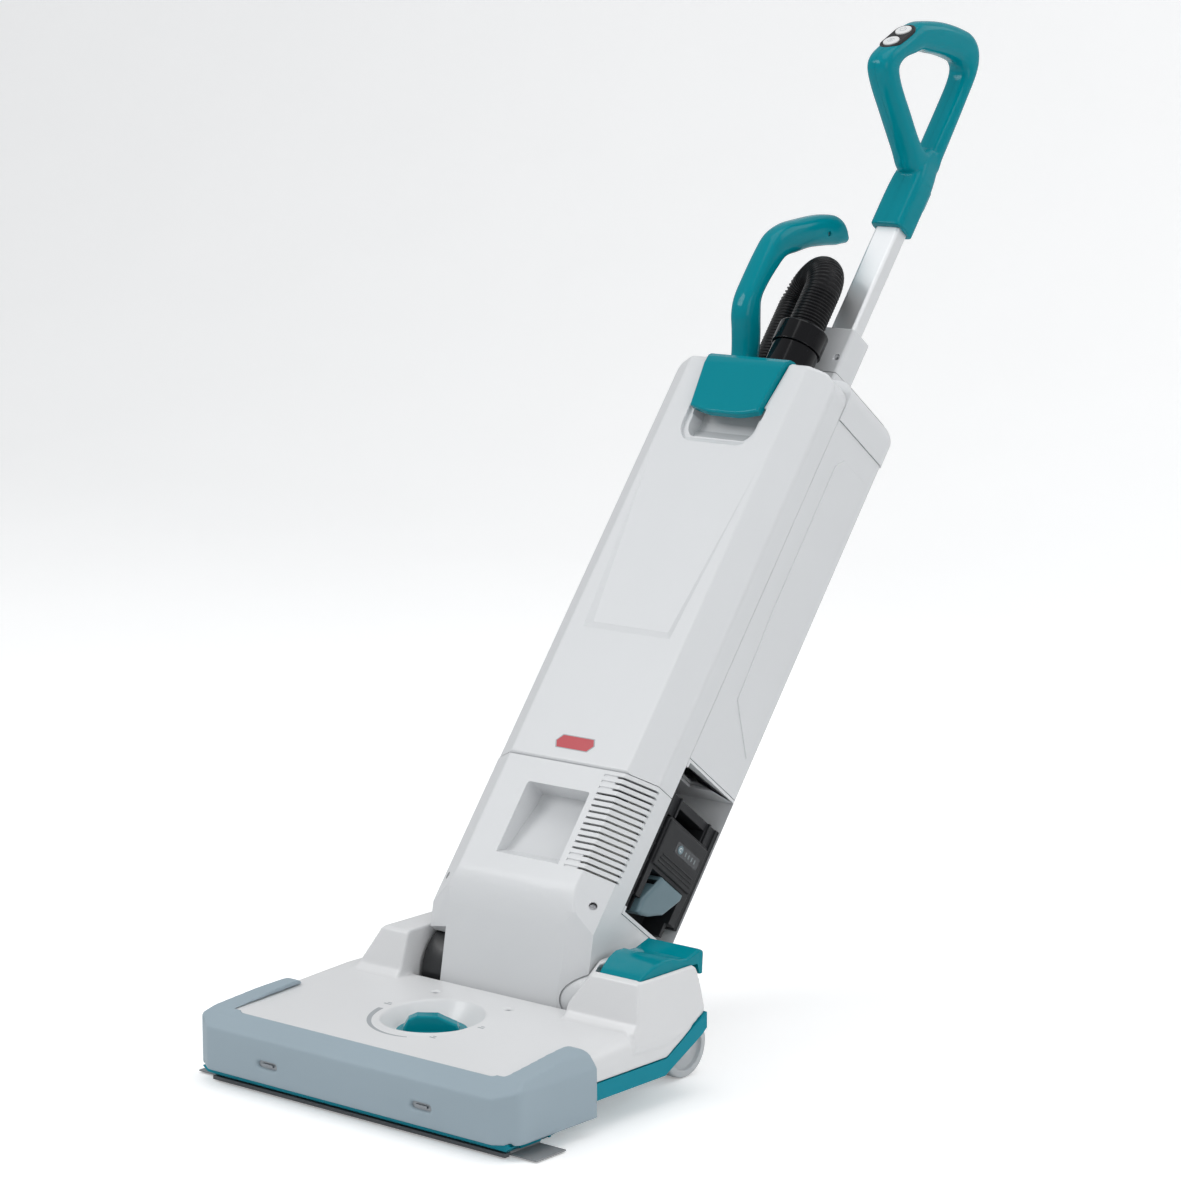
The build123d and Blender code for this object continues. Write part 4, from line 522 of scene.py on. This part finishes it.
def strap(stations, power, steps, closed, half_width=None, x_mid=0.0):
    """Bar whose side view runs between outer and inner points, with a rounded section.

    Stations are (outer y, outer z, inner y, inner z[, half width]).
    """
    track = spline(stations, steps, closed)
    verts = []
    for station in track:
        out_y, out_z, in_y, in_z = station[:4]
        half = station[4] if len(station) > 4 else half_width
        mid_y, mid_z = (out_y + in_y) / 2, (out_z + in_z) / 2
        dir_y, dir_z = (out_y - in_y), (out_z - in_z)
        depth = math.hypot(dir_y, dir_z) or 1e-6
        dir_y, dir_z = dir_y / depth, dir_z / depth
        for j in range(STRAP_SIDES):
            u, v = superellipse(2 * math.pi * j / STRAP_SIDES, depth / 2, half, power)
            verts.append(upright(x_mid + v, mid_y + dir_y * u, mid_z + dir_z * u))
    return verts, loft_faces(len(track), STRAP_SIDES, closed)


# ---------------------------------------------------------------- the hose
HOSE_START = (-9.5, -11.5, 716)  # foot of the first leg, mm on the upright
HOSE_END = (-64.0, 25.0, 685)    # foot of the second leg
HOSE_TURN_Z = 792                # where both legs meet the half circle
HOSE_PITCH = 3.7                 # one corrugation
HOSE_STEPS = 8                   # rings per corrugation
HOSE_SIDES = 72
HOSE_RADIUS, HOSE_RIDGE = 18.45, 0.95


def build_hose():
    """Corrugated hose: up one leg, over a half circle and down the other leg."""
    x0, y0, z0 = HOSE_START
    x1, y1, z1 = HOSE_END
    mid_x, mid_y = (x0 + x1) / 2, (y0 + y1) / 2
    bend = math.hypot(x0 - x1, y0 - y1) / 2
    dir_x, dir_y = (x0 - x1) / (2 * bend), (y0 - y1) / (2 * bend)
    first_leg = HOSE_TURN_Z - z0
    length = first_leg + math.pi * bend + (HOSE_TURN_Z - z1)
    steps = int(length / HOSE_PITCH * HOSE_STEPS)
    verts = []
    for i in range(steps + 1):
        along = length * i / steps
        if along < first_leg:
            centre = (x0, y0, z0 + along)
            normal = (dir_x, dir_y, 0)
        elif along < first_leg + math.pi * bend:
            turn = (along - first_leg) / bend
            c, s = math.cos(turn), math.sin(turn)
            centre = (mid_x + dir_x * bend * c, mid_y + dir_y * bend * c,
                      HOSE_TURN_Z + bend * s)
            normal = (dir_x * c, dir_y * c, s)
        else:
            centre = (x1, y1, HOSE_TURN_Z - (along - first_leg - math.pi * bend))
            normal = (-dir_x, -dir_y, 0)
        wave = math.cos(2 * math.pi * along / HOSE_PITCH)
        radius = HOSE_RADIUS + HOSE_RIDGE * math.copysign(abs(wave) ** 0.6, wave)
        for j in range(HOSE_SIDES):
            angle = 2 * math.pi * j / HOSE_SIDES
            u, v = math.cos(angle) * radius, math.sin(angle) * radius
            verts.append(upright(centre[0] + normal[0] * u - dir_y * v,
                                 centre[1] + normal[1] * u + dir_x * v,
                                 centre[2] + normal[2] * u))
    mesh_piece("hose_corrugated", verts, loft_faces(steps + 1, HOSE_SIDES), "m_hose",
               "upright", replaced=("hose",))


# ------------------------------------------------------- the carrying handle
CARRY_STATIONS = [  # outer y, outer z, inner y, inner z, half width
    (-30.0, 680.4, -6.5, 680.4, 12.6),
    (-31.5, 690.0, -6.2, 691.0, 12.8),
    (-37.0, 701.0, -6.8, 702.0, 13.0),
    (-50.0, 717.5, -20.0, 726.0, 13.3),
    (-61.5, 731.0, -35.0, 745.5, 13.5),
    (-67.4, 748.0, -45.4, 760.0, 13.5),
    (-68.6, 775.0, -46.2, 776.0, 13.5),
    (-68.6, 806.0, -42.5, 797.0, 13.5),
    (-66.0, 828.0, -36.5, 817.5, 13.5),
    (-54.5, 848.0, -22.0, 833.5, 13.5),
    (-36.0, 866.5, -7.0, 849.2, 13.5),
    (-12.0, 888.0, 10.0, 863.0, 13.5),
    (6.0, 900.6, 22.0, 872.0, 13.5),
    (13.0, 903.6, 30.5, 878.0, 13.4),
    (17.0, 904.0, 39.0, 885.5, 13.2),
    (19.5, 903.2, 44.5, 890.0, 12.6),
]
CARRY_X = -60.0
SCREW_HOLE = (5.0, 876.0, 2.7)    # y, z, radius
SCREW_HOLE_SPAN = (-51.2, -40.0)  # x of its floor, x clear of the handle's +X side
SCREW_HOLE_SIDES = 24


def build_carry_handle():
    verts, faces = strap(CARRY_STATIONS, power=2.7, steps=6, closed=False, x_mid=CARRY_X)
    carry = mesh_piece("carry_handle_loop", verts, faces, "m_teal", "upright",
                       replaced=("carry_handle",))
    add_soft_skin(carry, voxel=1.1, passes=3)
    apply_modifiers(carry)
    y, z, radius = SCREW_HOLE
    angles = [2 * math.pi * j / SCREW_HOLE_SIDES for j in range(SCREW_HOLE_SIDES)]
    cut_away(carry, [[upright(x, y + radius * math.cos(a), z + radius * math.sin(a))
                      for a in angles] for x in SCREW_HOLE_SPAN])
    smooth_faces(carry)
    add_edge_split(carry, 50)


# ------------------------------------------------------------ the top grip
GRIP_STATIONS = [  # outer y, outer z, inner y, inner z
    (22.5, 968.0, 40.0, 1003.0),
    (-4.0, 980.0, 14.0, 1001.0),
    (-44.0, 997.0, -24.0, 1016.0),
    (-76.0, 1011.0, -50.0, 1027.0),
    (-92.5, 1022.5, -64.5, 1036.5),
    (-95.6, 1035.0, -67.0, 1045.0),
    (-89.5, 1052.0, -62.5, 1056.0),
    (-79.5, 1071.0, -52.0, 1068.5),
    (-67.0, 1096.5, -42.0, 1079.5),
    (-53.0, 1110.5, -26.0, 1088.5),
    (-26.0, 1128.5, -6.0, 1099.5),
    (4.0, 1142.5, 14.0, 1108.0),
    (22.0, 1147.0, 24.0, 1110.0),
    (38.5, 1141.5, 33.0, 1105.5),
    (49.5, 1122.0, 36.5, 1092.0),
    (52.8, 1080.0, 37.2, 1066.0),
    (54.6, 1045.0, 37.2, 1036.0),
    (56.0, 1008.0, 37.0, 1014.0),
    (56.0, 985.0, 36.5, 1006.0),
]
STEM_RINGS = [  # z, width, depth, middle y, superellipse power
    (905.2, 39.4, 31.4, 39, 6), (906.4, 40, 32, 39, 6),
    (920, 40, 32, 39, 6), (940, 40, 32, 39, 6),
    (956, 39.6, 32.4, 39.2, 5.5), (968, 38.5, 33, 39.6, 5),
    (978, 35.5, 33.6, 40, 4.5), (990, 31.5, 33.4, 40.2, 4),
    (1000, 29.8, 31, 40.5, 3.6), (1006, 29.2, 27, 42, 3.4),
]
BOSS_RINGS = [  # z, share of the full section; a boss on the stem's +Y side
    (940.5, 0.55), (942.5, 0.85), (946, 1.0), (969, 1.0), (972.0, 0.85), (974.5, 0.5),
]
BOSS_Y = 57
TUBE_HOLLOW = (31.6, 19.6, 40)   # width, depth, middle y
TUBE_HOLLOW_SPAN = (895, 962)
HALF_GAP = 0.00009               # m, from the middle plane to each shell

# flat facet that carries the buttons
FACET_Y, FACET_Z = -79.5, 1071
FACET_LENGTH = math.hypot(27, 54)
FACET_DIR_Y, FACET_DIR_Z = 27 / FACET_LENGTH, 54 / FACET_LENGTH
FACET_SLOT = (24.6, 50.6)        # width, height of the recess
FACET_SLOT_SPAN = (-8.0, 9.0)    # below and above the facet


def on_facet(u, v, d):
    """u across the facet, v up along it, d out of it, mm."""
    return upright(u, FACET_Y + FACET_DIR_Y * v - FACET_DIR_Z * d,
                   FACET_Z + FACET_DIR_Z * v + FACET_DIR_Y * d)


def slot_outline(width, height, steps=12):
    """Upright slot with round ends."""
    radius = width / 2
    out = []
    for start, end_v in ((0, height / 2 - radius), (math.pi, -(height / 2 - radius))):
        for i in range(steps + 1):
            angle = start + math.pi * i / steps
            out.append((radius * math.cos(angle), end_v + radius * math.sin(angle)))
    return out


def stem_ring(z, width, depth, y, power):
    ring = []
    for j in range(STRAP_SIDES):
        u, v = superellipse(2 * math.pi * j / STRAP_SIDES, width / 2, depth / 2, power)
        ring.append(upright(u, y + v, z))
    return ring


def append_loft(rings, verts, faces):
    first = len(verts)
    for ring in rings:
        verts.extend(ring)
    for face in loft_faces(len(rings), STRAP_SIDES):
        faces.append(tuple(first + i for i in face))


def keep_half(obj, side):
    """Keeps the +X (side 1) or -X (side -1) half, with an unmoved extrusion at the cut."""
    bm = bmesh.new()
    bm.from_mesh(obj.data)
    result = bmesh.ops.bisect_plane(
        bm, geom=bm.verts[:] + bm.edges[:] + bm.faces[:], dist=1e-6,
        plane_co=(side * HALF_GAP, 0, 0), plane_no=(side, 0, 0),
        clear_inner=True, clear_outer=False)
    rim = [e for e in result["geom_cut"] if isinstance(e, bmesh.types.BMEdge)]
    bmesh.ops.extrude_edge_only(bm, edges=rim)
    bm.to_mesh(obj.data)
    bm.free()


def build_grip():
    """Loop, stem and boss fused into one skin, hollowed, then split into two shells."""
    verts, faces = strap(GRIP_STATIONS, power=3.0, steps=7, closed=True, half_width=15.0)
    append_loft([stem_ring(*ring) for ring in STEM_RINGS], verts, faces)
    append_loft([stem_ring(z, 25 * k + 1, 13.4 * k, BOSS_Y - (1 - k) * 4, 3.2)
                 for z, k in BOSS_RINGS], verts, faces)
    grip = mesh_piece("grip_shells", verts, faces, "m_teal", "upright")
    add_soft_skin(grip, voxel=1.15, passes=12)
    apply_modifiers(grip)

    outline = slot_outline(*FACET_SLOT)
    cut_away(grip, [[on_facet(u, v, d) for u, v in outline] for d in FACET_SLOT_SPAN])
    cut_away(grip, [stem_ring(z, *TUBE_HOLLOW, power=8) for z in TUBE_HOLLOW_SPAN])

    left = new_object("grip_shell_left", grip.data.copy())
    keep_half(grip, 1)
    keep_half(left, -1)
    grip.name = "grip_shell_right"
    for shell in (grip, left):
        smooth_faces(shell)
        add_edge_split(shell, 50)
    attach(left, "upright")
    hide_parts("handle_shell_left")
    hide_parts("handle_shell_right")


# ----------------------------------------------------- printed marks, decals
MARK_ROOT = -0.15  # mm, how far marks sink into the surface


def flat_mark(name, outlines, place, material, body, thick):
    """Thin raised shapes: outlines of (u, v), placed by place(u, v, d)."""
    verts, faces = [], []
    for outline in outlines:
        first = len(verts)
        count = len(outline)
        for d in (MARK_ROOT, thick):
            verts += [place(u, v, d) for u, v in outline]
        faces.append(tuple(first + i for i in range(count)))
        faces.append(tuple(first + count + i for i in range(count))[::-1])
        for i in range(count):
            j = (i + 1) % count
            faces.append((first + i, first + j, first + count + j, first + count + i))
    mesh_piece(name, verts, faces, material, body, smooth=False)


def arc_band(inner, outer, start, end, steps=28, taper=False):
    """Band between two radii, angles in degrees; a tapered one narrows towards its end."""
    shares = [i / steps for i in range(steps + 1)]
    out = []
    for t in shares:
        angle = math.radians(start + (end - start) * t)
        out.append((outer * math.cos(angle), outer * math.sin(angle)))
    for t in reversed(shares):
        angle = math.radians(start + (end - start) * t)
        radius = inner + (outer - inner) * (t * 0.75 if taper else 0)
        out.append((radius * math.cos(angle), radius * math.sin(angle)))
    return out


def disc(u, v, radius, sides=32):
    angles = [2 * math.pi * i / sides for i in range(sides)]
    return [(u + radius * math.cos(a), v + radius * math.sin(a)) for a in angles]


def rectangle(u, v, width, height):
    return [(u + x * width / 2, v + y * height / 2)
            for x, y in ((-1, -1), (1, -1), (1, 1), (-1, 1))]


def rounded_rectangle(u, v, width, height, radius, steps=6):
    out = []
    for k, (side_u, side_v) in enumerate(((1, 1), (-1, 1), (-1, -1), (1, -1))):
        for i in range(steps + 1):
            a = math.radians(90 * k + 90 * i / steps)
            out.append((u + side_u * (width / 2 - radius) + radius * math.cos(a),
                        v + side_v * (height / 2 - radius) + radius * math.sin(a)))
    return out


def moved(outline, u0, v0, scale_u=1.0, scale_v=1.0):
    return [(u0 + u * scale_u, v0 + v * scale_v) for u, v in outline]


def on_button(side):
    """Top of the upper (side 1) or lower (side -1) button on the grip's facet."""
    button_offset, button_height = 12.0, 2.0
    return lambda u, v, d: on_facet(u, v + button_offset * side, button_height + d)


def build_button_glyphs():
    """An open ring with a bar in its gap, and two arcs round three bars."""
    power = [arc_band(3.1, 3.7, 120, 420), rectangle(0, 3.0, 0.7, 3.4)]
    mode = [arc_band(3.3, 3.8, 20, 160), arc_band(3.3, 3.8, 200, 340),
            rectangle(0, 0, 3.2, 0.7), rectangle(0, 1.6, 2.2, 0.6),
            rectangle(0, -1.6, 2.2, 0.6)]
    flat_mark("power_glyph", power, on_button(1), "m_mark", "power_button",
              thick=0.06)
    flat_mark("mode_glyph", mode, on_button(-1), "m_mark", "mode_button",
              thick=0.06)


DIAL_Y = -141.0
DECK_Y, DECK_Z = -60, 77.5       # a point on the head's sloping deck
DECK_SLOPE = 8.7 / 172.0
DIAL_TICK_RADIUS = 61.0
DIAL_TICKS = ((176, 9), (-47, 7), (1, 7))  # angle in degrees, width


def on_deck(u, v, d):
    """Head's deck, measured from the dial's centre."""
    y = DIAL_Y + v
    return row(u, y, DECK_Z + (y - DECK_Y) * DECK_SLOPE + d)


def build_dial_marks():
    """Tapering arc from the dial's -X side round its front, and three two-bar ticks."""
    outlines = [arc_band(55.5, 61.5, 188, 290, steps=34, taper=True)]
    for degrees, width in DIAL_TICKS:
        angle = math.radians(degrees)
        u, v = DIAL_TICK_RADIUS * math.cos(angle), DIAL_TICK_RADIUS * math.sin(angle)
        outlines.append(rectangle(u, v, width, 2.0))
        outlines.append(rectangle(u, v + 3.4, width * 0.6, 1.6))
    flat_mark("dial_marks", outlines, on_deck, "m_mark", "head", thick=0.08)


PACK_FACE_X = 104.0
GAUGE_Z = 165.0
GAUGE_KEY_Y = 3.6


def on_pack(u, v, d):
    """Battery pack's +X face: u is y and v is z on the upright."""
    return upright(PACK_FACE_X + d, u, v)


def build_battery_gauge():
    """Glossy window, round key and four bars, with three ribs below."""
    flat_mark("gauge_window", [rounded_rectangle(16.5, GAUGE_Z, 42, 12.0, 2.2)], on_pack,
              "m_label", "battery", thick=0.18)
    flat_mark("gauge_key", [disc(GAUGE_KEY_Y, GAUGE_Z, 4.3)], on_pack,
              "m_button_blue", "battery", thick=0.55)
    flat_mark("gauge_key_mark", [moved(arc_band(1.5, 2.1, 20, 320), GAUGE_KEY_Y, GAUGE_Z)],
              on_pack, "m_print_white", "battery", thick=0.62)
    bars = [rectangle(13.5 + 5.6 * i, GAUGE_Z, 2.0, 4.6) for i in range(4)]
    flat_mark("gauge_bars", bars, on_pack, "m_led", "battery", thick=0.34)
    ribs = [rounded_rectangle(9.5, 141.5 + 4.2 * i, 62.0 - 3 * i, 1.5, 0.7)
            for i in range(3)]
    flat_mark("pack_ribs", ribs, on_pack, "m_battery", "battery", thick=0.7)


DOOR_FACE_Y = -82.5
LOZENGE = [(-23, 0), (-17, 6.6), (21, 6.6), (24, 0), (18, -6.6), (-20, -6.6)]
LOZENGE_X, LOZENGE_Z = -1.5, 221.0


def on_door(u, v, d):
    """Front of the bag door."""
    return upright(u, DOOR_FACE_Y - d, v)


def build_lozenge():
    rim = moved(LOZENGE, LOZENGE_X, LOZENGE_Z, scale_u=1.06, scale_v=1.14)
    flat_mark("lozenge_rim", [rim], on_door, "m_mark", "bag_door", thick=0.06)
    flat_mark("lozenge", [moved(LOZENGE, LOZENGE_X, LOZENGE_Z)], on_door, "m_red",
              "bag_door", thick=0.12)


# ------------------------------------------------------------- brush bristles
BRUSH_Y, BRUSH_Z = -218.0, 25.0
TUFT_ROWS, TUFTS_PER_ROW, BRISTLES_PER_TUFT = 2, 22, 64
TUFT_START_X, TUFT_PITCH = -160, 15.2
TUFT_TWIST = 16.4                 # degrees from one tuft to the next
BRISTLE_ROOT, BRISTLE_MIDDLE, BRISTLE_TIP = 15.6, 19.8, 23.3  # radii
ROOT_HALF, TIP_HALF = 0.26, 0.14  # bristle half thickness


def append_bristle(verts, faces, rng, x, tuft_angle):
    """Four-sided bristle with a random place, splay and length."""
    dx = rng.uniform(-5.5, 5.5)
    dt = rng.uniform(-1.8, 1.8)
    splay_x = rng.gauss(0, 0.55) + dx * 0.05
    splay_t = rng.gauss(0, 0.5) + dt * 0.18
    tip = BRISTLE_TIP - abs(rng.gauss(0, 0.35))
    c, s = math.cos(math.radians(tuft_angle)), math.sin(math.radians(tuft_angle))
    first = len(verts)
    sections = (  # radius, half thickness, share of the splay
        (BRISTLE_ROOT, ROOT_HALF, 0),
        (BRISTLE_MIDDLE, ROOT_HALF * 0.9, 0.35),
        (tip, TIP_HALF, 1),
    )
    for radius, half, share in sections:
        for q in range(4):
            angle = q * math.pi / 2 + 0.4
            along = x + dx + splay_x * share + half * math.cos(angle)
            across = dt + splay_t * share + half * math.sin(angle)
            verts.append(row(along, BRUSH_Y + (across * c - radius * s),
                             BRUSH_Z + (across * s + radius * c)))
    for low in (first, first + 4):
        for q in range(4):
            q2 = (q + 1) % 4
            faces.append((low + q, low + q2, low + 4 + q2, low + 4 + q))
    faces.append((first + 8, first + 9, first + 10, first + 11))
    faces.append((first + 3, first + 2, first + 1, first))


def build_bristles():
    """Two rows of tufts that twist round the roller, on opposite sides."""
    rng = random.Random(5)
    verts, faces = [], []
    for k in range(TUFT_ROWS):
        for i in range(TUFTS_PER_ROW):
            x = TUFT_START_X + i * TUFT_PITCH
            for _ in range(BRISTLES_PER_TUFT):
                append_bristle(verts, faces, rng, x, k * 180 + i * TUFT_TWIST)
    mesh_piece("brush_bristles", verts, faces, "m_bristle", "brush",
               replaced=("brush_tufts",))


# ------------------------------------------------------------------ dust bag
BAG_SHRINK = 0.965
BAG_MAX_SHIFT = 0.007  # m, how far the cloth may leave its rest shape
CLOTH_FRAMES = 20


def shrunk_copy(name, source_name, factor):
    """Welded copy of a CAD piece, scaled about the middle of its box."""
    source = NODES[source_name]
    mesh = bpy.data.meshes.new(name)
    bm = bmesh.new()
    bm.from_mesh(source.data)
    bm.transform(source.matrix_world)
    bmesh.ops.remove_doubles(bm, verts=bm.verts, dist=0.00001)
    low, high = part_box(source_name)
    centre = (Vector(low) + Vector(high)) / 2
    for v in bm.verts:
        v.co = centre + (v.co - centre) * factor
    bm.to_mesh(mesh)
    bm.free()
    return new_object(name, mesh)


def inflate(bag):
    """Short weightless cloth run under inner pressure."""
    scene.gravity = (0, 0, 0)
    modifier = bag.modifiers.new("cloth", "CLOTH")
    settings = modifier.settings
    settings.quality = 5
    settings.mass = 0.2
    settings.tension_stiffness = 12
    settings.compression_stiffness = 12
    settings.shear_stiffness = 6
    settings.bending_stiffness = 0.4
    settings.use_pressure = True
    settings.uniform_pressure_force = 4.0
    settings.shrink_min = -0.055
    settings.effector_weights.gravity = 0.0
    modifier.collision_settings.use_collision = False
    modifier.point_cache.frame_start = 1
    modifier.point_cache.frame_end = CLOTH_FRAMES
    for number in range(1, CLOTH_FRAMES + 1):
        scene.frame_set(number)
    apply_modifiers(bag)
    scene.frame_set(1)


def build_dust_bag():
    bag = shrunk_copy("dust_bag_cloth", "dust_bag", BAG_SHRINK)
    add_soft_skin(bag, voxel=5.5, passes=3)
    apply_modifiers(bag)
    rest = [v.co.copy() for v in bag.data.vertices]
    inflate(bag)
    for v, home in zip(bag.data.vertices, rest):
        shift = v.co - home
        # coarse and fine creases
        crease = noise.noise(home * 42.0) * 0.0012 + noise.noise(home * 95.0) * 0.0005
        if shift.length > BAG_MAX_SHIFT:
            shift = shift.normalized() * BAG_MAX_SHIFT
        v.co = home + shift + v.normal * crease
    subdivide = bag.modifiers.new("subdivide", "SUBSURF")
    subdivide.levels = 1
    subdivide.render_levels = 1
    apply_modifiers(bag)
    smooth_faces(bag)
    bag.data.materials.clear()
    bag.data.materials.append(MATS["m_bag"])
    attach(bag, "upright")
    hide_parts("dust_bag")


SEAM_STEPS = 120
SEAM_CENTRE = (33.0, -14.0, 489.5)
SEAM_HALF_HEIGHT, SEAM_HALF_DEPTH = 132.0, 47.0
SEAM_SECTION = ((-0.9, -2.8), (0.6, -2.8), (0.6, 2.8), (-0.9, 2.8))  # outwards, across x


def build_bag_seam():
    """Band that runs lengthwise round the bag, in a plane across x."""
    mid_x, mid_y, mid_z = SEAM_CENTRE
    verts = []
    for i in range(SEAM_STEPS):
        u, v = superellipse(2 * math.pi * i / SEAM_STEPS, SEAM_HALF_HEIGHT,
                            SEAM_HALF_DEPTH, 5.0)
        for out, across in SEAM_SECTION:
            verts.append(upright(mid_x + across, mid_y + v * (1 + out / 55.0) * 0.98,
                                 mid_z + u * (1 + out / 130.0) * 0.985))
    mesh_piece("bag_seam", verts, loft_faces(SEAM_STEPS, len(SEAM_SECTION), True), "m_bag",
               "upright")


# ------------------------------------------------------ the pedal's return spring
SPRING_X, SPRING_Y = 137.0, 4.0
SPRING_Z, SPRING_RISE = 105.4, 10.4  # wire centre at the foot, climb to the top
SPRING_RADIUS, SPRING_WIRE = 5.0, 0.8
SPRING_TURNS, SPRING_STEPS, SPRING_SIDES = 4, 96, 10


def build_pedal_spring():
    verts = []
    for i in range(SPRING_STEPS + 1):
        t = i / SPRING_STEPS
        turn = 2 * math.pi * SPRING_TURNS * t
        for j in range(SPRING_SIDES):
            angle = 2 * math.pi * j / SPRING_SIDES
            radius = SPRING_RADIUS + SPRING_WIRE * math.cos(angle)
            verts.append(row(SPRING_X + radius * math.cos(turn),
                             SPRING_Y + radius * math.sin(turn),
                             SPRING_Z + SPRING_RISE * t + SPRING_WIRE * math.sin(angle)))
    spring = mesh_piece("pedal_spring_coil", verts,
                        loft_faces(SPRING_STEPS + 1, SPRING_SIDES), "m_steel", "head",
                        replaced=("pedal_spring",))
    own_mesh(spring)


# ---------------------------------------------------------------- studio, metres
FLOOR_HALF = 9.0
FLOOR_Z = -0.0006
SWEEP_Y, SWEEP_RADIUS = 2.2, 2.0  # where the floor starts to curve up, and how
WALL_TOP = 9.0
SWEEP_ROWS = 25

AMBIENT = 0.50       # strength of the light the surroundings give
CAMERA_EXTRA = 0.46  # added where the camera sees the surroundings directly


def floor_material():
    tree, shader, coords = new_material("m_floor")
    drift = noise_fac(tree, coords, scale=3.0, detail=3.0)
    base = mix_colour(tree, drift, (0.90, 0.90, 0.90, 1), (0.93, 0.93, 0.93, 1))
    # a little glow, for the camera only, keeps the backdrop near white
    path = add_node(tree, "ShaderNodeLightPath")
    glow = math_node(tree, "MULTIPLY", path.outputs["Is Camera Ray"], 0.28)
    set_inputs(tree, shader, {
        "Base Color": base, "Roughness": 0.9, "Specular IOR Level": 0.1,
        "Emission Color": (1.0, 1.0, 1.0, 1), "Emission Strength": glow,
    })


def build_floor():
    """Floor that sweeps up into a wall behind the product."""
    mesh = bpy.data.meshes.new("studio_floor")
    profile = []
    for i in range(SWEEP_ROWS):
        t = i / (SWEEP_ROWS - 1)
        if t < 0.5:
            y, z = -FLOOR_HALF + t * 2 * (FLOOR_HALF + SWEEP_Y), FLOOR_Z
        else:
            angle = (t - 0.5) * 2 * math.pi / 2
            y = SWEEP_Y + SWEEP_RADIUS * math.sin(angle)
            z = SWEEP_RADIUS * (1 - math.cos(angle)) + FLOOR_Z
        profile.append((y, z))
    profile.append((SWEEP_Y + SWEEP_RADIUS, WALL_TOP))
    bm = bmesh.new()
    rows = [[bm.verts.new((x, y, z)) for x in (-FLOOR_HALF, FLOOR_HALF)] for y, z in profile]
    for near, far in zip(rows, rows[1:]):
        bm.faces.new((near[0], near[1], far[1], far[0]))
    bm.to_mesh(mesh)
    bm.free()
    floor = new_object("studio_floor", mesh)
    smooth_faces(floor)
    floor_material()
    mesh.materials.append(MATS["m_floor"])


def build_world():
    world = bpy.data.worlds.new("studio")
    scene.world = world
    world.use_nodes = True
    tree = world.node_tree
    tree.nodes.clear()
    output = add_node(tree, "ShaderNodeOutputWorld")
    background = add_node(tree, "ShaderNodeBackground",
                          {"Color": (0.96, 0.98, 1.0, 1), "Strength": AMBIENT})
    # seen directly, the surroundings are near white; the light they give stays the same
    path = add_node(tree, "ShaderNodeLightPath")
    strength = math_node(tree, "MULTIPLY_ADD", path.outputs["Is Camera Ray"],
                         CAMERA_EXTRA, AMBIENT)
    set_inputs(tree, background, {"Strength": strength})
    tree.links.new(background.outputs[0], output.inputs[0])


def aim(place, target):
    return (Vector(target) - Vector(place)).to_track_quat("-Z", "Y")


def area_light(name, place, target, size, power):
    data = bpy.data.lights.new(name, "AREA")
    data.energy = power
    data.size = size
    light = new_object(name, data)
    light.location = place
    light.rotation_euler = aim(place, target).to_euler()


def build_lights():
    area_light("key", (-1.9, -2.2, 2.9), target=(0, 0.1, 0.4), size=1.5, power=47)
    area_light("fill", (3.2, -0.9, 1.6), target=(0, 0.2, 0.45), size=2.0, power=27)
    area_light("top", (0.2, 0.3, 3.4), target=(0, 0.1, 0.3), size=2.2, power=25)
    area_light("rim", (1.4, 2.2, 2.2), target=(0, 0.3, 0.6), size=1.6, power=12)


def build_camera():
    place = (2.3730, -2.7215, 1.1077)
    target = (0.0262, 0.0630, 0.4564)
    roll = Matrix.Rotation(math.radians(-0.23), 3, "Z")
    data = bpy.data.cameras.new("camera")
    camera = new_object("camera", data)
    data.lens = 117.2
    data.sensor_width = 36.0
    data.clip_end = 50
    camera.location = place
    camera.rotation_euler = (aim(place, target).to_matrix() @ roll).to_euler()
    scene.camera = camera
    scene.view_settings.view_transform = "Standard"
    scene.view_settings.look = "None"
    scene.view_settings.exposure = 0.0


# --------------------------------------------------------------------- build
dress_cad_pieces()
build_hose()
build_carry_handle()
build_grip()
build_button_glyphs()
build_dial_marks()
build_battery_gauge()
build_lozenge()
build_bristles()
build_dust_bag()
build_bag_seam()
build_pedal_spring()
build_floor()
build_world()
build_lights()
build_camera()
